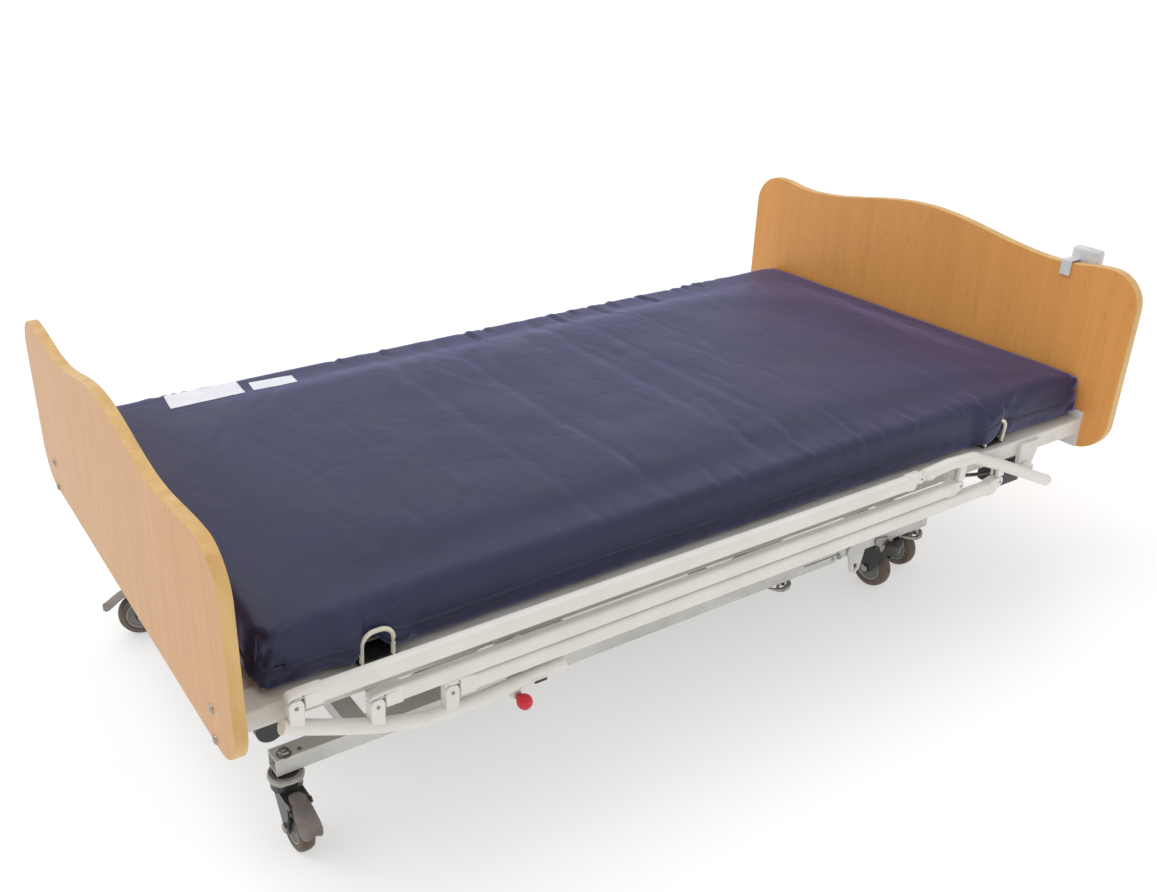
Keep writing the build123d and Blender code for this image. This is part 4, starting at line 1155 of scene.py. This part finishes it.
for name, side in SIDES.items():
    y = side * RAIL_Y
    foot_parts, head_parts = [], []
    reach = pin_of(f"rail_head_crank_{name}") - pin_of(f"rail_raise_{name}")
    for number in (1, 2, 3):
        pin = foot_pins[f"rail_{name}_{number}"]
        half = 0.0125
        low = tube_level(FOOT_TUBE, pin.x)
        outline = [(pin.x + half, low), (pin.x + half, pin.z + 0.0035)]
        outline += arc(pin.x + 0.003, pin.z + 0.0035, 0.0095, 0, 90, 6)
        outline += arc(pin.x - 0.003, pin.z + 0.0035, 0.0095, 90, 180, 6)
        outline += [(pin.x - half, low)]
        foot_parts.append(prism("post", outline, side_lift, y - POST_HALF_T, y + POST_HALF_T, rail_plastic, 0.0018))
        foot_parts.append(screw_head((pin.x, y + side * POST_HALF_T, pin.z), (0, side, 0), 0.0034))
        head = pin + reach
        if number == 1:
            collar = [(0, 0), (0, 0.0095), (0.002, 0.0105), (0.014, 0.0115), (0.016, 0.0135), (0.026, 0.0138),
                      (0.027, 0)]
            collar_spot = (head.x + 0.0126, y, head.z - 0.001)
            head_parts.append(turned("collar", collar_spot, (1, 0, 0), collar, [rail_plastic], steps=36))
            continue
        high = tube_level(HEAD_TUBE, head.x)
        post_low = head.z + 0.0127
        outline = [(head.x - 0.010, post_low), (head.x + 0.010, post_low),
                   (head.x + 0.010, high), (head.x - 0.010, high)]
        head_parts.append(prism("post", outline, side_lift, y - POST_HALF_T, y + POST_HALF_T, rail_plastic, 0.0018))
    start, after = FOOT_TUBE[0], FOOT_TUBE[1]
    foot_parts.append(plug((start[0], y, start[1]), (start[0] - after[0], 0, start[1] - after[1])))
    end, before = HEAD_TUBE[-1], HEAD_TUBE[-2]
    head_parts.append(plug((end[0], y, end[1]), (end[0] - before[0], 0, end[1] - before[1])))
    clip_y = y + side * 0.0125
    foot_parts.append(rounded_box("clip", (-0.539, clip_y - 0.003, 0.300), (-0.514, clip_y + 0.003, 0.3055),
                                  0.0012, black_plastic))
    foot_parts.append(rounded_box("tab", (-0.545, clip_y - 0.002, 0.3045), (-0.510, clip_y + 0.0012, 0.3085),
                                  0.0010, rail_plastic))
    for body, parts in ((f"crank_foot_{name}", foot_parts), (f"crank_head_{name}", head_parts)):
        fittings = merged(body + "_fittings", parts)
        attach(fittings, body)
print("rail fittings on", sorted(foot_pins))

# %% [markdown]
# ## Release knobs
# The red knob is a turned mushroom on a short neck; pulling it out frees the rail.

# %% Release knobs
for name, side in SIDES.items():
    low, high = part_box(f"knob_{name}")
    x, z = (low[0] + high[0]) / 2, (low[2] + high[2]) / 2
    face = high[1] if side > 0 else low[1]
    shape = [(-0.030, 0), (-0.030, 0.0075), (-0.026, 0.0080), (-0.022, 0.0095), (-0.019, 0.0128), (-0.015, 0.0141),
             (-0.009, 0.0141), (-0.004, 0.0122), (-0.0012, 0.0085), (-0.0002, 0.0040), (0, 0)]
    knob = turned(f"knob_{name}_grip", (x, face, z), (0, side, 0), shape, [knob_red], steps=48)
    stem_shape = [(0, 0), (0, 0.003), (0.0205, 0.003), (0.0205, 0)]
    stem = turned("stem", (x, face - side * 0.030, z), (0, -side, 0), stem_shape, [zinc], steps=20)
    knob = merged(f"knob_{name}_dressed", [knob, stem])
    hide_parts(f"knob_{name}")
    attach(knob, f"knob_{name}")
print("knobs", list(SIDES))

# %% [markdown]
# ## Castors
# A castor is a rubber tyre on a grey hub, held by a pressed steel fork under a chrome swivel ring.
# The tyre and hub are turned from one profile. The foot castors have a ribbed brake pedal that
# arches over the tyre.

# %% Castor wheels
def castor_axle(fork_node):
    joint = joint_of(fork_node.replace("castor_fork", "castor_roll"))
    return Vector(joint["pos_m"]), Vector(joint["axis"])


TYRE = [(-0.012, 0.034), (-0.0145, 0.036), (-0.015, 0.042), (-0.0125, 0.0472), (-0.007, 0.0494), (0, 0.0500),
        (0.007, 0.0494), (0.0125, 0.0472), (0.015, 0.042), (0.0145, 0.036), (0.012, 0.034)]
HUB = [(0.012, 0.0341), (0.0132, 0.0335), (0.0128, 0.0315), (0.0095, 0.0295), (0.0085, 0.022), (0.0095, 0.015),
       (0.0145, 0.0125), (0.0150, 0.0075), (0.0130, 0.0062), (-0.0130, 0.0062), (-0.0150, 0.0075),
       (-0.0145, 0.0125), (-0.0095, 0.015), (-0.0085, 0.022), (-0.0095, 0.0295), (-0.0128, 0.0315),
       (-0.0132, 0.0335), (-0.012, 0.0341)]


def make_wheel(name, centre, axis, scale, node, body):
    profile = [(a, r * scale) for a, r in TYRE] + [(a, r * scale if r > 0.01 else r) for a, r in HUB]
    zones = [0] * (len(TYRE) - 1) + [1] * (len(HUB) + 1)
    for number in (1, 2, len(HUB) - 3, len(HUB) - 2):
        zones[len(TYRE) - 1 + number + 1] = 2
    wheel = turned(name, centre, axis, profile, [tread_rubber, hub_grey, hub_rim], zones, steps=72, ring=True)
    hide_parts(node)
    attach(wheel, body)


castor_names = [n for n in frame["nodes"] if n.startswith("castor_fork_")]
for node in castor_names:
    axle, axis = castor_axle(node)
    wheel_node = node.replace("fork", "wheel")
    make_wheel(wheel_node + "_turned", axle, axis, 1.0, wheel_node, wheel_node)
for name, side in SIDES.items():
    low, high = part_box(f"transport_wheel_{name}")
    centre = [(a + b) / 2 for a, b in zip(low, high)]
    node = f"transport_wheel_{name}"
    make_wheel(node + "_turned", centre, (1, 0, 0), (high[2] - low[2]) / 0.1, node, node)
print("castors", castor_names)

# %% Swivel rings and axle nuts
for node in castor_names:
    x, y, _ = joint_of(node.replace("castor_fork", "castor_swivel"))["pos_m"]
    race = [(z + 0.0082, r) for z, r in ((0.118, 0.024), (0.1185, 0.0300), (0.121, 0.0325), (0.1255, 0.0335),
                                         (0.130, 0.0325), (0.1325, 0.0300), (0.133, 0.024))]
    race_finish = chrome if "foot" in node else fork_black
    ring = turned(node + "_race", (x, y, 0), (0, 0, 1), race, [race_finish], steps=64, ring=True)
    axle, axis = castor_axle(node)
    nuts = []
    for way in (-1, 1):
        nut = [(0.0220, 0), (0.0220, 0.0092), (0.0262, 0.0092), (0.0275, 0.0078), (0.0285, 0.0045), (0.0292, 0)]
        nuts.append(turned(f"{node}_nut_{way + 1}", axle, axis * way, nut, [zinc], steps=24))
    trim = merged(node + "_trim", [ring] + nuts)
    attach(trim, node)

# %% [markdown]
# ## Brake pedals
# Each pedal is a pressed plate that arches over the tyre, wider towards its toe, with a rolled lip.

# %% Brake pedals
PEDAL_LINE = [(0.034, 0.1165), (0.046, 0.1185), (0.058, 0.1170), (0.070, 0.1120), (0.082, 0.1045), (0.094, 0.0955),
              (0.104, 0.0880), (0.111, 0.0845), (0.117, 0.0850)]
PEDAL_HALF = [0.012, 0.015, 0.0165, 0.0175, 0.019, 0.0205, 0.0205, 0.0180, 0.0125]
PEDAL_T = 0.0026


def rim_of(rows):
    # The outer points of a grid of rows, in order round it.
    return rows[0] + [row[-1] for row in rows[1:]] + rows[-1][-2::-1] + [row[0] for row in rows[-2:0:-1]]


for name in SIDES:
    node = f"castor_fork_foot_{name}"
    swivel = pin_of(f"castor_swivel_foot_{name}")
    axle, _ = castor_axle(node)
    ahead = Vector((axle.x - swivel.x, axle.y - swivel.y, 0)).normalized()
    across = Vector((0, 0, 1)).cross(ahead)
    plate = bmesh.new()
    layers = []
    for drop in (0, PEDAL_T):
        rows = []
        for (along, height), half in zip(PEDAL_LINE, PEDAL_HALF):
            row = []
            for k in range(9):
                v = -1 + k / 4
                sag = 0.0045 * v * v
                row.append(plate.verts.new(Vector((swivel.x, swivel.y, 0)) + ahead * along + across * (half * v)
                                           + Vector((0, 0, height - sag - drop))))
            rows.append(row)
        layers.append(rows)
    for rows in layers:
        for first, second in zip(rows, rows[1:]):
            for k in range(8):
                plate.faces.new((first[k], second[k], second[k + 1], first[k + 1])).smooth = True
    upper, lower = rim_of(layers[0]), rim_of(layers[1])
    for k in range(len(upper)):
        after = (k + 1) % len(upper)
        plate.faces.new((upper[k], upper[after], lower[after], lower[k]))
    pedal = mesh_piece(f"brake_pedal_{name}_plate", plate, (pedal_grey,), 40)
    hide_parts(f"brake_pedal_{name}")
    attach(pedal, f"brake_pedal_{name}")
print("pedals", list(SIDES))

# %% [markdown]
# ## Chassis fittings
# Under each long beam hang two chrome horns that guide a strap. Each is a bent bar that swells
# from a thin tip to a ball. Nuts hold the castor stems, and a tab with a bolt braces the head pair.

# %% Chassis fittings
horns = []
for side in (-1, 1):
    for x, ceiling in ((0.245, 0.142), (0.678, 0.146)):
        line = [(-0.034, 0.372, 0.1350), (-0.026, 0.380, 0.1330), (-0.014, 0.389, 0.1305), (0.000, 0.394, 0.1290),
                (0.014, 0.392, 0.1290), (0.024, 0.386, 0.1305), (0.031, 0.378, 0.1330), (0.033, 0.374, 0.1345)]
        thick = [0.0012, 0.0026, 0.0042, 0.0054, 0.0062, 0.0066, 0.0056, 0.0020]
        points = [(x + u, side * w, h) for u, w, h in line]
        horns.append(tube("horn", points, thick, chrome))
        stub = [(x + 0.012, side * 0.380, 0.130), (x + 0.012, side * 0.378, ceiling)]
        thin_stub = [(x, side * 0.380, 0.130), (x - 0.002, side * 0.376, ceiling)]
        arm = [(x - 0.012, side * 0.388, 0.131), (x, side * 0.378, 0.1375), (x + 0.012, side * 0.378, 0.139)]
        horns.append(tube("stub", stub, 0.0050, chrome))
        horns.append(tube("stub", thin_stub, 0.0035, zinc))
        horns.append(tube("arm", arm, 0.0030, chrome))
rings = merged("strap_horns", horns)
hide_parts("chrome_rings")
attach(rings, "chassis")

HEX = [(math.cos(math.radians(60 * k)), math.sin(math.radians(60 * k))) for k in range(6)]
extras = []
for name, side in SIDES.items():
    stem = pin_of(f"castor_swivel_foot_{name}")
    hexagon = [(stem.x + 0.0105 * u, stem.y + 0.0105 * v) for u, v in HEX]
    washer = [(0, 0), (0, 0.0135), (0.0018, 0.0135), (0.0022, 0)]
    stud = [(0, 0), (0, 0.0055), (0.0030, 0.0050), (0.0036, 0)]
    extras.append(turned("washer", (stem.x, stem.y, 0.176), (0, 0, 1), washer, [zinc], steps=32))
    extras.append(prism("nut", hexagon, lambda u, v, w: Vector((u, v, w)), 0.1778, 0.1862, zinc, 0.0008))
    extras.append(turned("stud", (stem.x, stem.y, 0.1860), (0, 0, 1), stud, [zinc], steps=24))
    extras.append(screw_head((stem.x + 0.028, stem.y, 0.176), (0, 0, 1), 0.0052))
    y = side * 0.387
    tab_face = y + side * 0.003
    tab = [(0.540, 0.166), (0.582, 0.160), (0.588, 0.132), (0.580, 0.121), (0.564, 0.124), (0.556, 0.140),
           (0.541, 0.150)]
    # A thin black strip on the beam paints the shade inside its slot.
    slot_shade_low, slot_shade_high = (0.310, y - 0.0006, 0.1612), (0.423, y + 0.0006, 0.1636)
    extras.append(prism("tab", tab, side_lift, min(y, tab_face), max(y, tab_face), zinc, 0.0008))
    extras.append(screw_head((0.572, tab_face, 0.134), (0, side, 0), 0.0060))
    extras.append(rounded_box("slit", slot_shade_low, slot_shade_high, 0.0004, black_plastic, 1))
    for x, z, radius in ((0.402, 0.1545, 0.0045), (0.424, 0.1520, 0.0058)):
        extras.append(screw_head((x, y, z), (0, side, 0), radius))
fixings = merged("chassis_fixings", extras)
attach(fixings, "chassis")
print("chassis pieces", len(horns), len(extras))

# %% [markdown]
# ## Control box cable
# A short black cable comes down from the near side beam and runs into the control box.

# %% Control box cable
cable_corners = [(0.646, -0.486, 0.376), (0.646, -0.486, 0.344), (0.720, -0.486, 0.328), (0.802, -0.486, 0.316)]
cable = tube("control_cable", rounded_route(cable_corners, 0.014), 0.0042, black_plastic, sides=16)
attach(cable, "upper_frame")

# %% [markdown]
# ## Handset
# The handset is a soft-edged shell with a bent clip over the headboard and three rocker keys.
# Each key carries a raised triangle pointing up or down, instead of any printed picture.

# %% Handset
hand_low, hand_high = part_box("handset")
BACK_X, FRONT_X = 1.052, hand_high[0]
CLIP_Y, CLIP_HALF = -0.407, 0.0125
shell = rounded_box("shell", (BACK_X, -0.463, hand_low[2]), (FRONT_X, -0.393, hand_high[2]), 0.0085,
                    handset_shell, 4)
clip_outline = [(1.0198, 0.728), (1.0232, 0.728), (1.0232, 0.7600), (1.0530, 0.7600), (1.0530, 0.7632),
                (1.0225, 0.7632), (1.0205, 0.7622), (1.0198, 0.7602)]
clip = prism("clip", clip_outline, side_lift, CLIP_Y - CLIP_HALF, CLIP_Y + CLIP_HALF, handset_shell, 0.0006)
gland = rounded_box("gland", (BACK_X + 0.006, -0.434, hand_low[2] - 0.008),
                    (BACK_X + 0.018, -0.422, hand_low[2] + 0.004), 0.003, black_plastic)
panel = rounded_box("panel", (FRONT_X - 0.0006, -0.4515, 0.660), (FRONT_X + 0.0004, -0.4045, 0.750), 0.0003,
                    hub_grey, 1)
handset = merged("handset_dressed", [shell, clip, gland, panel])
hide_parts("handset")
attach(handset, "handset")
for key in ("lift", "leg", "back"):
    low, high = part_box(f"key_{key}")
    rocker = rounded_box("rocker", low, high, 0.0014, key_rubber)
    marks = []
    for way in (-1, 1):
        y = (low[1] + high[1]) / 2 + way * 0.011
        z = (low[2] + high[2]) / 2
        mark = [(y - 0.0045, z - way * 0.003), (y + 0.0045, z - way * 0.003), (y, z + way * 0.0042)]
        marks.append(prism("mark", mark, lambda u, v, w: Vector((w, u, v)), high[0] - 0.0006, high[0] + 0.0003,
                           label_film, 0))
    rocker = merged(f"key_{key}_rocker", [rocker] + marks)
    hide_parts(f"key_{key}")
    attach(rocker, f"key_{key}")
print("handset from", tuple(hand_low), "to", tuple(hand_high))

# %% [markdown]
# ## Finishes on the CAD pieces
# The beams, tubes, panels, arms and actuators already have their true shape, so they stay and take
# a finish in place of their plain one.

# %% Finishes on the CAD pieces
def dress(node, finish):
    piece = frame["nodes"][node]
    piece.data.materials.clear()
    piece.data.materials.append(finish)


for node in frame["nodes"]:
    if node.startswith(("side_beam", "frame_cross", "board_brackets", "rail_brackets")):
        dress(node, frame_paint)
    elif node.startswith("crank_"):
        dress(node, rail_paint)
    elif node.startswith("chassis"):
        dress(node, chassis_paint)
    elif node.startswith("lift_arm") or node.endswith("_panel"):
        dress(node, arm_paint)
    elif node.endswith("_rod"):
        dress(node, rod_steel)
    elif node.endswith("_housing") or node.startswith("control_box"):
        dress(node, black_plastic)
    elif node.startswith("castor_fork"):
        dress(node, fork_black)

# %% Finish
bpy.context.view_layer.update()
bpy.data.objects.remove(dome)
